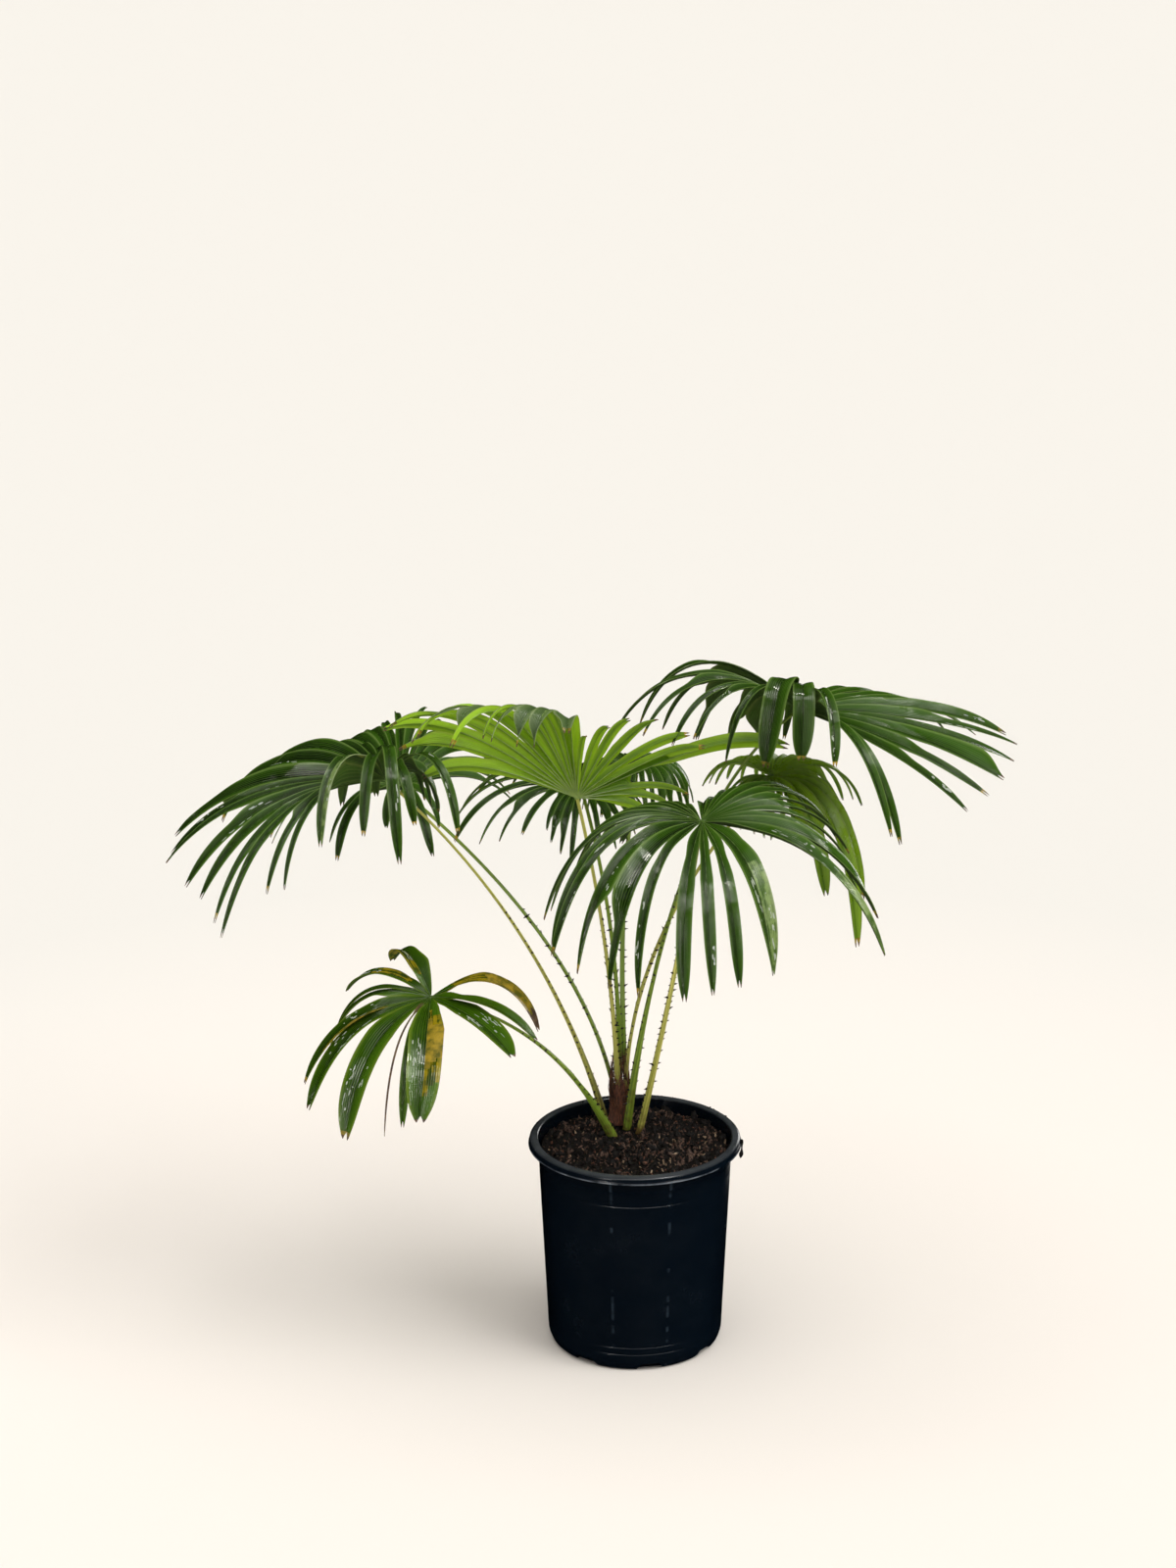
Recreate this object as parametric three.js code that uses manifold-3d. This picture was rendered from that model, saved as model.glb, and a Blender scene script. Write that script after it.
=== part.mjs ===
// A young fan palm in a round nursery pot: pot, potting mix, a short fibrous crown, and nine fan leaves,
// each a bare petiole that carries one pleated blade. Millimetres, +Z up, origin at the middle of the
// pot's flat underside. The plant is seen from the front along +Y, with +X to the right.
import * as THREE from "three";
import Module from "manifold-3d";
import { mergeVertices } from "three/addons/utils/BufferGeometryUtils.js";

const wasm = await Module();
wasm.setup();

// Driving dimensions of the pot
const POT_HEIGHT = 256;
const RIM_RADIUS = 125;
const RIM_BAND = 10;
const RIM_ROUND = 2;
const MOUTH_RADIUS = 114;
const MOUTH_CHAMFER = 1.5;
const COLLAR_DEPTH = 25;
const COLLAR_STEP = 2.7;
const COLLAR_CHAMFER = 3;
const HEEL_RADIUS = 103.5;
const HEEL_HEIGHT = 12;
const HEEL_BULGE = 4;
const FOOT_RADIUS = 97;
const WALL = 2.2;
const FLOOR = 3;
const POT_SIDES = 64;
const DRAIN_COUNT = 8;
const DRAIN_FIRST_DEG = -80;
const DRAIN_WIDTH = 33;
const DRAIN_TOP_WIDTH = 22;
const DRAIN_HEIGHT = 9;
const DRAIN_DEPTH = 16;

// Driving dimensions of the potting mix and the crown
const SOIL_EDGE = 243;
const SOIL_LEVEL = 249;
const SOIL_PLATEAU_RADIUS = 84;
const SOIL_CLEARANCE = 1.2;
const FIT_GAP = 0.3;
const CROWN_AT = [-18, 62];
const CROWN_TOP = 293;
const CROWN_FOOT_RADIUS = 14.5;
const CROWN_WAIST_RADIUS = 11.5;
const CROWN_TOP_RADIUS = 13;
const CROWN_WAIST_HEIGHT = 22;
const CROWN_EASE = 8;
const CROWN_SIDES = 16;

// Driving dimensions that all leaves share
const PETIOLE_SIDES = 8;
const PETIOLE_STEPS = 12;
const PETIOLE_FLATNESS = 0.78;
const PETIOLE_TAPER = 2.2;
const BLADE_THICKNESS = 3;
const HUB_RADIUS = 5;
const HUB_THICKNESS = 5;
const KNOB_RADIUS = 4.6;
const KNOB_SIDES = 8;
const PLEAT_DEPTH = 0.3;
const STATIONS = 7;
const SPLIT_STATION = 2;
const STATION_SPACING = 0.9;
const TRACE_STEPS = 28;

// A free segment's half width: its cap at the split, the belly past it, and how late it runs in to the tip
const WIDEST_HALF = 17;
const BELLY = 0.25;
const BELLY_PLACE = 0.8;
const TIP_ONSET = 2.6;

// Each leaf: the petiole's foot, bow and end (the hastula, where the blade is joined on) and its width at
// both ends; the blade's heading, turned from +X towards +Y, and its pitch above level; bend, how late along
// a segment its droop sets in; split, the share of a segment that is joined to the next one. The fan lists
// chosen segments as [number, turn from the heading, length, droop, lift out of the blade's plane], and the
// segments between two of them run evenly from the one to the other.
const LEAVES = [
  {
    name: "low_left", foot: [-28, 16], bow: [-92, -6, 400], hastula: [-236, -10, 433], width: [13, 5],
    heading: 220, pitch: 0, bend: 2, split: 0.5,
    fan: [
      [0, -95, 110, 1.8, 48], [1, -60, 122, 1.8, 28], [2, -42, 168, 3.4, 15], [4, -15, 222, 4, 2],
      [5, 5, 222, 5, 0], [8, 50, 178, 3.3, -5], [9, 95, 148, 0.9, -2], [11, 130, 160, 3, 30],
    ],
  },
  {
    name: "left_front", foot: [-37, 72], bow: [-105, 50, 507], hastula: [-284, 10, 690], width: [11, 5],
    heading: 195, pitch: 0, bend: 2, split: 0.42,
    fan: [
      [0, -170, 100, 5, 20], [3, -105, 105, 6, 45], [5, -52, 190, 4.2, 30], [7, -17, 285, 2, 8],
      [9, 12, 290, 3, 5], [11, 25, 225, 3.2, 10], [12, 38, 190, 4.5, 48], [15, 74, 205, 7, 58],
      [18, 135, 110, 5, 35],
    ],
  },
  {
    name: "left_back", foot: [-26, 63], bow: [-68, 100, 468], hastula: [-280, 157, 634], width: [8, 5],
    heading: 165, pitch: 0, bend: 2, split: 0.4,
    fan: [
      [0, -165, 145, 1.5, 18], [2, -130, 150, 1.6, 32], [4, -85, 135, 0.9, 50], [7, -30, 190, 2, 30],
      [10, 20, 200, 2.5, 15], [14, 90, 170, 4, 10], [17, 165, 110, 4, 10],
    ],
  },
  {
    name: "centre_young", foot: [-20, 54.5], bow: [-27, 45, 480], hastula: [-66, 20, 665], width: [7.5, 5],
    heading: 275, pitch: 70, bend: 3, split: 0.55,
    fan: [
      [0, -64, 190, 0.9, 5], [1, -55, 255, 0.9, 5], [2, -36, 262, 2, 5], [3, -29, 220, 2.2, 5],
      [7, -10, 190, 2.4, 5], [8, 2, 105, 1, 0], [11, 45, 158, 0.5, 0], [12, 56, 160, 0.6, 0],
      [13, 67, 252, 0.8, 5], [14, 80, 130, 0.9, 5], [16, 100, 90, 1, 5],
    ],
  },
  {
    name: "centre_back", foot: [-19, 70], bow: [-15, 85, 480], hastula: [-63, 100, 653], width: [8, 5],
    heading: 100, pitch: 0, bend: 2, split: 0.4,
    fan: [
      [0, -172, 110, 3, 0], [3, -125, 95, 3, 10], [6, -60, 95, 2, 20], [9, 0, 100, 1.8, 25],
      [12, 70, 160, 1.8, 20], [14, 95, 178, 2.3, 12], [16, 135, 90, 2, 8], [18, 165, 110, 5, -5],
    ],
  },
  {
    name: "right_inner", foot: [-10.5, 66], bow: [-24, 144, 480], hastula: [2, 235, 630], width: [7.5, 5],
    heading: 70, pitch: 0, bend: 2, split: 0.4,
    fan: [[0, -165, 110, 5, 35], [7, 0, 100, 5, 35], [14, 165, 110, 5, 35]],
  },
  {
    name: "right_back", foot: [-11.5, 57], bow: [-5, 90, 480], hastula: [161, 130, 658], width: [8, 5],
    heading: 10, pitch: 0, bend: 2, split: 0.4,
    fan: [
      [0, -165, 90, 3, 10], [4, -78, 105, 5, 0], [6, -54, 258, 8, 0],
      [8, -20, 115, 6, 18], [10, 0, 138, 3, 20], [14, 90, 120, 3, 20], [17, 160, 95, 2, 25],
    ],
  },
  {
    name: "upper_right", foot: [-9, 43], bow: [38, 55, 650], hastula: [189, 60, 759], width: [11, 5],
    heading: 0, pitch: 0, bend: 2, split: 0.42,
    fan: [
      [0, -175, 243, 2.2, 30], [2, -148, 175, 2.5, 35], [4, -85, 168, 8, 66], [5, -60, 165, 5, 40],
      [6, -52, 214, 4.8, 5], [7, -45, 221, 5, 0], [8, -36, 228, 1.6, 18], [10, -20, 262, 0.9, 0],
      [12, -3, 258, 0.6, -3], [15, 50, 205, 2, 10], [18, 125, 118, 4, 8], [21, 170, 240, 2.6, 37],
    ],
  },
  {
    name: "front_right", foot: [6, 30], bow: [50, 0, 463], hastula: [75, -60, 662], width: [10, 5],
    heading: -80, pitch: 0, bend: 2, split: 0.42,
    fan: [
      [0, -158, 75, 2, 20], [3, -105, 231, 3.5, 10], [6, -73, 262, 4.4, 10], [8, -22, 224, 5.5, -18],
      [11, 26, 215, 5.5, -5], [12, 53, 275, 2, 0], [14, 75, 212, 2.2, 10], [16, 125, 185, 1.6, 22],
      [18, 168, 105, 2, 15],
    ],
  },
];

const UP = new THREE.Vector3(0, 0, 1);
const radians = (degrees) => (degrees * Math.PI) / 180;
const vector = (array) => new THREE.Vector3(...array);

// What a fan's list says of one segment, mixed evenly between the two listed segments that it lies between.
function segmentOf(leaf, number) {
  const after = Math.max(1, leaf.fan.findIndex(([n]) => n >= number));
  const [from, to] = [leaf.fan[after - 1], leaf.fan[after]];
  const mix = (number - from[0]) / (to[0] - from[0]);
  const [, turn, length, droop, lift] = from.map((value, i) => value + (to[i] - value) * mix);
  return { turn: radians(turn), length, droop, lift: radians(lift) };
}

const segmentCount = (leaf) => leaf.fan[leaf.fan.length - 1][0] + 1;

// A solid from manifold-3d as a geometry, and back.
function toSolid(geometry) {
  const bare = new THREE.BufferGeometry().setAttribute("position", geometry.getAttribute("position"));
  bare.setIndex(geometry.index);
  const merged = mergeVertices(bare, 1e-4);
  return new wasm.Manifold(
    new wasm.Mesh({
      numProp: 3,
      vertProperties: new Float32Array(merged.attributes.position.array),
      triVerts: new Uint32Array(merged.index.array),
    }),
  );
}

function toGeometry(solid) {
  const mesh = solid.getMesh();
  const geometry = new THREE.BufferGeometry();
  geometry.setAttribute("position", new THREE.BufferAttribute(new Float32Array(mesh.vertProperties), 3));
  geometry.setIndex(new THREE.BufferAttribute(new Uint32Array(mesh.triVerts), 1));
  return geometry;
}

function indexed(points, triangles) {
  const geometry = new THREE.BufferGeometry();
  geometry.setAttribute("position", new THREE.Float32BufferAttribute(points.flatMap((p) => [p.x, p.y, p.z]), 3));
  geometry.setIndex(triangles);
  return geometry;
}

// A closed tube through rings of points, each ring with as many points, closed by a fan at both ends.
function loft(rings) {
  const sides = rings[0].length;
  const points = rings.flat();
  const triangles = [];
  for (let j = 0; j + 1 < rings.length; j++) {
    for (let k = 0; k < sides; k++) {
      const [a, b] = [j * sides + k, j * sides + ((k + 1) % sides)];
      triangles.push(a, b, b + sides, a, b + sides, a + sides);
    }
  }
  const last = (rings.length - 1) * sides;
  for (let k = 1; k + 1 < sides; k++) {
    triangles.push(0, k + 1, k, last, last + k, last + k + 1);
  }
  return indexed(points, triangles);
}

function lathe(profile, sides) {
  const geometry = new THREE.LatheGeometry(profile.map(([r, z]) => new THREE.Vector2(r, z)), sides);
  return geometry.rotateX(Math.PI / 2);
}

// The pot: a thin tapered shell with a hooked rim, a collar step, a rounded heel and drain notches
function potSolid() {
  const collar = MOUTH_RADIUS + WALL;
  const collarFoot = POT_HEIGHT - COLLAR_DEPTH;
  const rimFoot = POT_HEIGHT - RIM_BAND;
  const profile = [
    [0, 0],
    [FOOT_RADIUS, 0],
    [FOOT_RADIUS + HEEL_BULGE, HEEL_HEIGHT / 3],
    [HEEL_RADIUS, HEEL_HEIGHT],
    [collar - COLLAR_STEP, collarFoot],
    [collar, collarFoot + COLLAR_CHAMFER],
    [collar, rimFoot],
    [RIM_RADIUS - RIM_ROUND / 2, rimFoot],
    [RIM_RADIUS, rimFoot + RIM_ROUND],
    [RIM_RADIUS, POT_HEIGHT - RIM_ROUND],
    [RIM_RADIUS - RIM_ROUND, POT_HEIGHT],
    [MOUTH_RADIUS + MOUTH_CHAMFER, POT_HEIGHT],
    [MOUTH_RADIUS, POT_HEIGHT - MOUTH_CHAMFER],
    [MOUTH_RADIUS - COLLAR_STEP, collarFoot],
    [HEEL_RADIUS - WALL, HEEL_HEIGHT],
    [FOOT_RADIUS + HEEL_BULGE - WALL, HEEL_HEIGHT / 2],
    [FOOT_RADIUS - WALL, FLOOR],
    [0, FLOOR],
  ];
  let pot = toSolid(lathe(profile, POT_SIDES));
  const notch = new THREE.Shape([
    new THREE.Vector2(-DRAIN_WIDTH / 2, -1),
    new THREE.Vector2(DRAIN_WIDTH / 2, -1),
    new THREE.Vector2(DRAIN_TOP_WIDTH / 2, DRAIN_HEIGHT),
    new THREE.Vector2(-DRAIN_TOP_WIDTH / 2, DRAIN_HEIGHT),
  ]);
  for (let i = 0; i < DRAIN_COUNT; i++) {
    const cutter = new THREE.ExtrudeGeometry(notch, { depth: DRAIN_DEPTH, bevelEnabled: false });
    cutter.rotateX(Math.PI / 2).translate(0, DRAIN_DEPTH - HEEL_RADIUS - HEEL_BULGE, 0);
    cutter.rotateZ(radians(DRAIN_FIRST_DEG + 90 + (i * 360) / DRAIN_COUNT));
    pot = pot.subtract(toSolid(cutter));
  }
  return pot;
}

// The potting mix: it fills the pot clear of the wall, with a low flat mound on top
function soilGeometry() {
  const bottom = FLOOR + FIT_GAP;
  const clear = WALL + SOIL_CLEARANCE;
  const upper = MOUTH_RADIUS - COLLAR_STEP - SOIL_CLEARANCE;
  return lathe(
    [
      [0, bottom],
      [FOOT_RADIUS - clear, bottom],
      [FOOT_RADIUS + HEEL_BULGE - clear, HEEL_HEIGHT * 0.6],
      [HEEL_RADIUS - clear, HEEL_HEIGHT * 1.25],
      [upper, POT_HEIGHT - COLLAR_DEPTH],
      [upper, SOIL_EDGE],
      [SOIL_PLATEAU_RADIUS, SOIL_LEVEL],
      [0, SOIL_LEVEL],
    ],
    POT_SIDES,
  );
}

// The crown: the short stem of old leaf bases, flared at its foot, with a flat top that the upper petioles leave
function crownGeometry() {
  const [x, y] = CROWN_AT;
  const levels = [
    [SOIL_LEVEL + FIT_GAP, CROWN_FOOT_RADIUS],
    [SOIL_LEVEL + CROWN_EASE, (CROWN_FOOT_RADIUS + CROWN_WAIST_RADIUS) / 2],
    [SOIL_LEVEL + CROWN_WAIST_HEIGHT, CROWN_WAIST_RADIUS],
    [CROWN_TOP - CROWN_EASE, CROWN_TOP_RADIUS],
    [CROWN_TOP, CROWN_TOP_RADIUS],
  ];
  return loft(
    levels.map(([z, radius]) =>
      Array.from({ length: CROWN_SIDES }, (_, k) => {
        const turn = (2 * Math.PI * k) / CROWN_SIDES;
        return new THREE.Vector3(x + radius * Math.cos(turn), y + radius * Math.sin(turn), z);
      }),
    ),
  );
}

// The petiole's centreline, from its foot on the soil or on the crown to just short of the blade's knob
function petioleCurve(leaf) {
  const [x, y] = leaf.foot;
  const onCrown = Math.hypot(x - CROWN_AT[0], y - CROWN_AT[1]) < CROWN_TOP_RADIUS;
  const foot = new THREE.Vector3(x, y, (onCrown ? CROWN_TOP : SOIL_LEVEL) + FIT_GAP);
  const bow = vector(leaf.bow);
  const hastula = vector(leaf.hastula);
  const arrival = hastula.clone().sub(bow).normalize();
  const end = hastula.clone().addScaledVector(arrival, -(KNOB_RADIUS + FIT_GAP));
  return new THREE.QuadraticBezierCurve3(foot, bow, end);
}

function petioleGeometry(leaf) {
  const curve = petioleCurve(leaf);
  const rings = [];
  for (let j = 0; j <= PETIOLE_STEPS; j++) {
    const t = j / PETIOLE_STEPS;
    const centre = curve.getPoint(t);
    const along = j === 0 ? UP.clone() : curve.getTangent(t);
    const outward = new THREE.Vector3(leaf.hastula[0], leaf.hastula[1], 0).sub(new THREE.Vector3(...leaf.foot, 0));
    const side = new THREE.Vector3().crossVectors(along, outward).normalize();
    const back = new THREE.Vector3().crossVectors(side, along).normalize();
    const half = 0.5 * (leaf.width[1] + (leaf.width[0] - leaf.width[1]) * (1 - t) ** PETIOLE_TAPER);
    rings.push(
      Array.from({ length: PETIOLE_SIDES }, (_, k) => {
        const turn = (2 * Math.PI * k) / PETIOLE_SIDES;
        return centre
          .clone()
          .addScaledVector(side, half * Math.cos(turn))
          .addScaledVector(back, half * PETIOLE_FLATNESS * Math.sin(turn));
      }),
    );
  }
  const geometry = loft(rings);
  return toSolid(geometry).volume() < 0 ? loft(rings.map((ring) => ring.slice().reverse())) : geometry;
}

// The blade's own directions: along its axis, across it, and out of its upper side
function bladeFrame(leaf) {
  const [heading, pitch] = [radians(leaf.heading), radians(leaf.pitch)];
  const level = new THREE.Vector3(Math.cos(heading), Math.sin(heading), 0);
  const axis = level.multiplyScalar(Math.cos(pitch)).addScaledVector(UP, Math.sin(pitch));
  const across = new THREE.Vector3().crossVectors(UP, axis).normalize();
  return { axis, across, normal: new THREE.Vector3().crossVectors(axis, across).normalize() };
}

// One segment's midrib: it leaves the hub in the blade's plane, lifted a little, and droops more towards its tip.
function traceRib(leaf, frame, number) {
  const { turn, length, droop, lift } = segmentOf(leaf, number);
  const flat = frame.axis.clone().multiplyScalar(Math.cos(turn)).addScaledVector(frame.across, Math.sin(turn));
  const side = frame.axis.clone().multiplyScalar(-Math.sin(turn)).addScaledVector(frame.across, Math.cos(turn));
  const start = flat.multiplyScalar(Math.cos(lift)).addScaledVector(frame.normal, Math.sin(lift));
  const place = vector(leaf.hastula);
  const rib = [];
  for (let k = 0; k <= TRACE_STEPS; k++) {
    const along = start.clone().addScaledVector(UP, -droop * (k / TRACE_STEPS) ** leaf.bend).normalize();
    side.addScaledVector(along, -side.dot(along)).normalize();
    const up = new THREE.Vector3().crossVectors(along, side).normalize();
    rib.push({ place: place.clone(), side: side.clone(), up });
    place.addScaledVector(along, length / TRACE_STEPS);
  }
  return { rib, length };
}

function ribAt(traced, share) {
  const at = share * TRACE_STEPS;
  const k = Math.min(Math.floor(at), TRACE_STEPS - 1);
  const [p, q] = [traced.rib[k], traced.rib[k + 1]];
  const mix = (name) => p[name].clone().lerp(q[name], at - k);
  return { place: mix("place"), side: mix("side").normalize(), up: mix("up").normalize() };
}

// The pleated blade as one closed thin solid. Each segment is a shallow V with its midrib lowest. Out to the
// split, neighbours share a crest; past it each has its own two margins, where the upper and lower skins meet.
function bladeGeometry(leaf) {
  const frame = bladeFrame(leaf);
  const ribs = Array.from({ length: segmentCount(leaf) }, (_, i) => traceRib(leaf, frame, i));
  const points = [];
  const triangles = [];
  const add = (p) => points.push(p) - 1;
  const face = (a, b, c) => triangles.push(a, c, b);
  const half = BLADE_THICKNESS / 2;
  const hub = vector(leaf.hastula);
  const hubTop = add(hub.clone().addScaledVector(frame.normal, HUB_THICKNESS / 2));
  const hubBottom = add(hub.clone().addScaledVector(frame.normal, -HUB_THICKNESS / 2));

  // Stations along a segment as shares of its length: the first at the hub, one at the split, the last at the tip
  const free = STATIONS - SPLIT_STATION;
  const shares = (length) => {
    const hubShare = HUB_RADIUS / length;
    const list = [hubShare, (hubShare + leaf.split) / 2, leaf.split];
    for (let k = 1; k <= free; k++) list.push(leaf.split + (1 - leaf.split) * (k / free) ** STATION_SPACING);
    return list;
  };
  const rows = ribs.map((traced) => shares(traced.length).map((share) => ribAt(traced, share)));

  // Half the width of a segment: up to the split, half the distance to its neighbour; past it, a long taper
  const halfWidthAtSplit = rows.map((row, i) => {
    const near = [rows[i - 1], rows[i + 1]].filter(Boolean).map((other) => other[SPLIT_STATION].place);
    return Math.min(...near.map((p) => p.distanceTo(row[SPLIT_STATION].place))) / 2;
  });
  const halfWidth = (i, j) => {
    if (j <= SPLIT_STATION) {
      const near = rows[i + (i === 0 ? 1 : -1)][j].place;
      return near.distanceTo(rows[i][j].place) / 2;
    }
    const v = (j - SPLIT_STATION) / free;
    const belly = 1 + BELLY * Math.sin(Math.PI * v ** BELLY_PLACE);
    return Math.min(halfWidthAtSplit[i], WIDEST_HALF) * belly * (1 - v ** TIP_ONSET);
  };

  const ribVertex = rows.map((row) =>
    row.map((s, j) => {
      if (j === STATIONS) return null;
      return [add(s.place.clone().addScaledVector(s.up, half)), add(s.place.clone().addScaledVector(s.up, -half))];
    }),
  );
  const tip = rows.map((row) => add(row[STATIONS].place.clone()));

  // margin[i][side][j]: a pair of vertices where the blade is joined, and one vertex where the edge is free
  const margin = rows.map(() => [[], []]);
  rows.forEach((row, i) => {
    for (const side of [0, 1]) {
      const sign = side === 0 ? -1 : 1;
      const neighbour = rows[i + sign];
      for (let j = 0; j < STATIONS; j++) {
        const s = row[j];
        if (neighbour && j <= SPLIT_STATION) {
          if (side === 0) {
            margin[i][0][j] = margin[i - 1][1][j];
            continue;
          }
          const other = neighbour[j];
          const middle = s.place.clone().add(other.place).multiplyScalar(0.5);
          const up = s.up.clone().add(other.up).normalize();
          const crest = PLEAT_DEPTH * s.place.distanceTo(other.place);
          margin[i][1][j] = [
            add(middle.clone().addScaledVector(up, crest * 0.5 + half)),
            add(middle.clone().addScaledVector(up, crest * 0.5 - half)),
          ];
        } else {
          const w = halfWidth(i, j);
          const p = s.place.clone().addScaledVector(s.side, sign * w).addScaledVector(s.up, w * PLEAT_DEPTH);
          const only = add(p);
          margin[i][side][j] = [only, only];
        }
      }
    }
  });

  // Quads between two lines of vertices, split into triangles, without those that have no area
  const skin = (a, b, c, d) => {
    if (a !== b && b !== c && c !== a) face(a, b, c);
    if (a !== c && c !== d && d !== a) face(a, c, d);
  };
  rows.forEach((row, i) => {
    const [left, right] = margin[i];
    for (let j = 0; j + 1 < STATIONS; j++) {
      const [rib, next] = [ribVertex[i][j], ribVertex[i][j + 1]];
      skin(left[j][0], rib[0], next[0], left[j + 1][0]);
      skin(rib[0], right[j][0], right[j + 1][0], next[0]);
      skin(rib[1], left[j][1], left[j + 1][1], next[1]);
      skin(right[j][1], rib[1], next[1], right[j + 1][1]);
      if (j === SPLIT_STATION && i > 0) face(left[j][0], left[j + 1][0], left[j][1]);
      if (j === SPLIT_STATION && i + 1 < rows.length) face(right[j][1], right[j + 1][0], right[j][0]);
    }
    const end = STATIONS - 1;
    const rib = ribVertex[i][end];
    face(left[end][0], rib[0], tip[i]);
    face(rib[0], right[end][0], tip[i]);
    face(rib[1], left[end][1], tip[i]);
    face(right[end][1], rib[1], tip[i]);
    // The hub: both skins run in to one point above and one below the hastula
    const [first, l0, r0] = [ribVertex[i][0], left[0], right[0]];
    face(hubTop, first[0], l0[0]);
    face(hubTop, r0[0], first[0]);
    face(hubBottom, l0[1], first[1]);
    face(hubBottom, first[1], r0[1]);
  });
  const [start, finish] = [margin[0][0][0][0], margin[rows.length - 1][1][0][0]];
  face(hubTop, start, hubBottom);
  face(hubTop, hubBottom, finish);

  // The hastula: a small knob fused into the hub, which the petiole's end meets
  const knob = new THREE.SphereGeometry(KNOB_RADIUS, KNOB_SIDES, KNOB_SIDES - 2).translate(...leaf.hastula);
  return toGeometry(toSolid(indexed(points, triangles)).add(toSolid(knob)));
}

// Materials
const potPlastic = new THREE.MeshStandardMaterial({ color: 0x0d1118, roughness: 0.45, metalness: 0 });
const pottingMix = new THREE.MeshStandardMaterial({ color: 0x2a1d16, roughness: 0.95, metalness: 0 });
const crownFibre = new THREE.MeshStandardMaterial({ color: 0x4a2418, roughness: 0.9, metalness: 0 });
const petioleGreen = new THREE.MeshStandardMaterial({ color: 0x5f7f2c, roughness: 0.5, metalness: 0 });
const bladeGreen = new THREE.MeshStandardMaterial({ color: 0x1f4a1c, roughness: 0.4, metalness: 0 });

const palm = new THREE.Group();

function place(name, geometry, material) {
  const mesh = new THREE.Mesh(geometry, material);
  mesh.name = name;
  palm.add(mesh);
  return mesh;
}

place("pot", toGeometry(potSolid()), potPlastic);
place("potting_mix", soilGeometry(), pottingMix);
place("crown", crownGeometry(), crownFibre);
for (const leaf of LEAVES) {
  place("petiole_" + leaf.name, petioleGeometry(leaf), petioleGreen);
  place("blade_" + leaf.name, bladeGeometry(leaf), bladeGreen);
}

export default palm;
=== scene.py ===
# %% [markdown]
# # A fan palm in a nursery pot
# The frame holds the palm's solids: pot, potting mix, crown, petioles and fan blades, in metres, with the
# origin in the middle of the pot's flat underside. This lesson dresses each of them with a finer mesh and a
# procedural finish, in the same place and at the same size.

import math
import random

import bmesh
import bpy
import numpy as np
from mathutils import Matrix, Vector


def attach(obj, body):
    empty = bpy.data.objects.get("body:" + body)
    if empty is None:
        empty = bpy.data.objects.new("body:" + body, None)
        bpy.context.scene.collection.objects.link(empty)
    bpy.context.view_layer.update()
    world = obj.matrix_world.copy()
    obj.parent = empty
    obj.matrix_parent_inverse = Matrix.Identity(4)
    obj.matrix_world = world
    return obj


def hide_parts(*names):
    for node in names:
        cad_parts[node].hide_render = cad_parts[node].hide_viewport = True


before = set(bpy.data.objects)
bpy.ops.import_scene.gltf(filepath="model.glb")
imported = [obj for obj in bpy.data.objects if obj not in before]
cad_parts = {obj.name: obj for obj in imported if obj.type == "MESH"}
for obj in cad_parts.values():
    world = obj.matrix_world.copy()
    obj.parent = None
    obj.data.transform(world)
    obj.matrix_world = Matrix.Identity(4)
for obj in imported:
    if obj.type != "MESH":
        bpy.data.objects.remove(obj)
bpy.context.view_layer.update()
MM = 0.001
UP = np.array([0.0, 0.0, 1.0])
print("nodes in the frame:", len(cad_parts))

# %% [markdown]
# ## The camera
# The photograph was taken from a little above, about 3.5 m away, with a long lens. Its optical axis lies a
# little right of the frame's middle, so the lens is shifted by that share of the frame's long side.

# %% Place the camera
FRAME_WIDTH_PX, FRAME_HEIGHT_PX = 1200, 1600
FOCAL_PX = 3050
AXIS_X_PX = 648
LOOKS_DOWN_DEG = 16.915
CAMERA_AT = (0.0002, -3.2495, 1.6757)

camera = bpy.data.objects.new("camera", bpy.data.cameras.new("camera"))
bpy.context.scene.collection.objects.link(camera)
camera.data.sensor_width = 36
camera.data.lens = 36 * FOCAL_PX / FRAME_HEIGHT_PX
camera.data.shift_x = (FRAME_WIDTH_PX / 2 - AXIS_X_PX) / FRAME_HEIGHT_PX
camera.location = CAMERA_AT
camera.rotation_euler = (math.radians(90 - LOOKS_DOWN_DEG), 0, 0)
bpy.context.scene.camera = camera
print("lens", round(camera.data.lens, 1), "mm")

# %% [markdown]
# ## Node trees
# Materials and Geometry Nodes trees are both made of nodes, so one helper adds a node, sets its options and
# fills its inputs, either with a value or with a link from another node's output.

# %% Helpers for nodes
def put(tree, socket, value):
    """Links a socket to another node's output, or sets it to a plain value."""
    if isinstance(value, bpy.types.NodeSocket):
        tree.links.new(value, socket)
    else:
        socket.default_value = value


def node(tree, kind, inputs=None, **options):
    made = tree.nodes.new(kind)
    for name, value in options.items():
        setattr(made, name, value)
    for name, value in (inputs or {}).items():
        put(tree, made.inputs[name], value)
    return made


def math_node(tree, operation, first, second=0.0, third=0.0):
    return node(tree, "ShaderNodeMath", {0: first, 1: second, 2: third}, operation=operation).outputs[0]


def times(tree, first, second):
    return math_node(tree, "MULTIPLY", first, second)


def vector_node(tree, operation, first, second):
    return node(tree, "ShaderNodeVectorMath", {0: first, 1: second}, operation=operation).outputs[0]


def object_coords(tree):
    return node(tree, "ShaderNodeTexCoord").outputs["Object"]


def separate(tree, vector):
    return node(tree, "ShaderNodeSeparateXYZ", {0: vector}).outputs


def stretched(tree, vector, scale):
    return node(tree, "ShaderNodeMapping", {"Vector": vector, "Scale": scale}).outputs[0]


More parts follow.
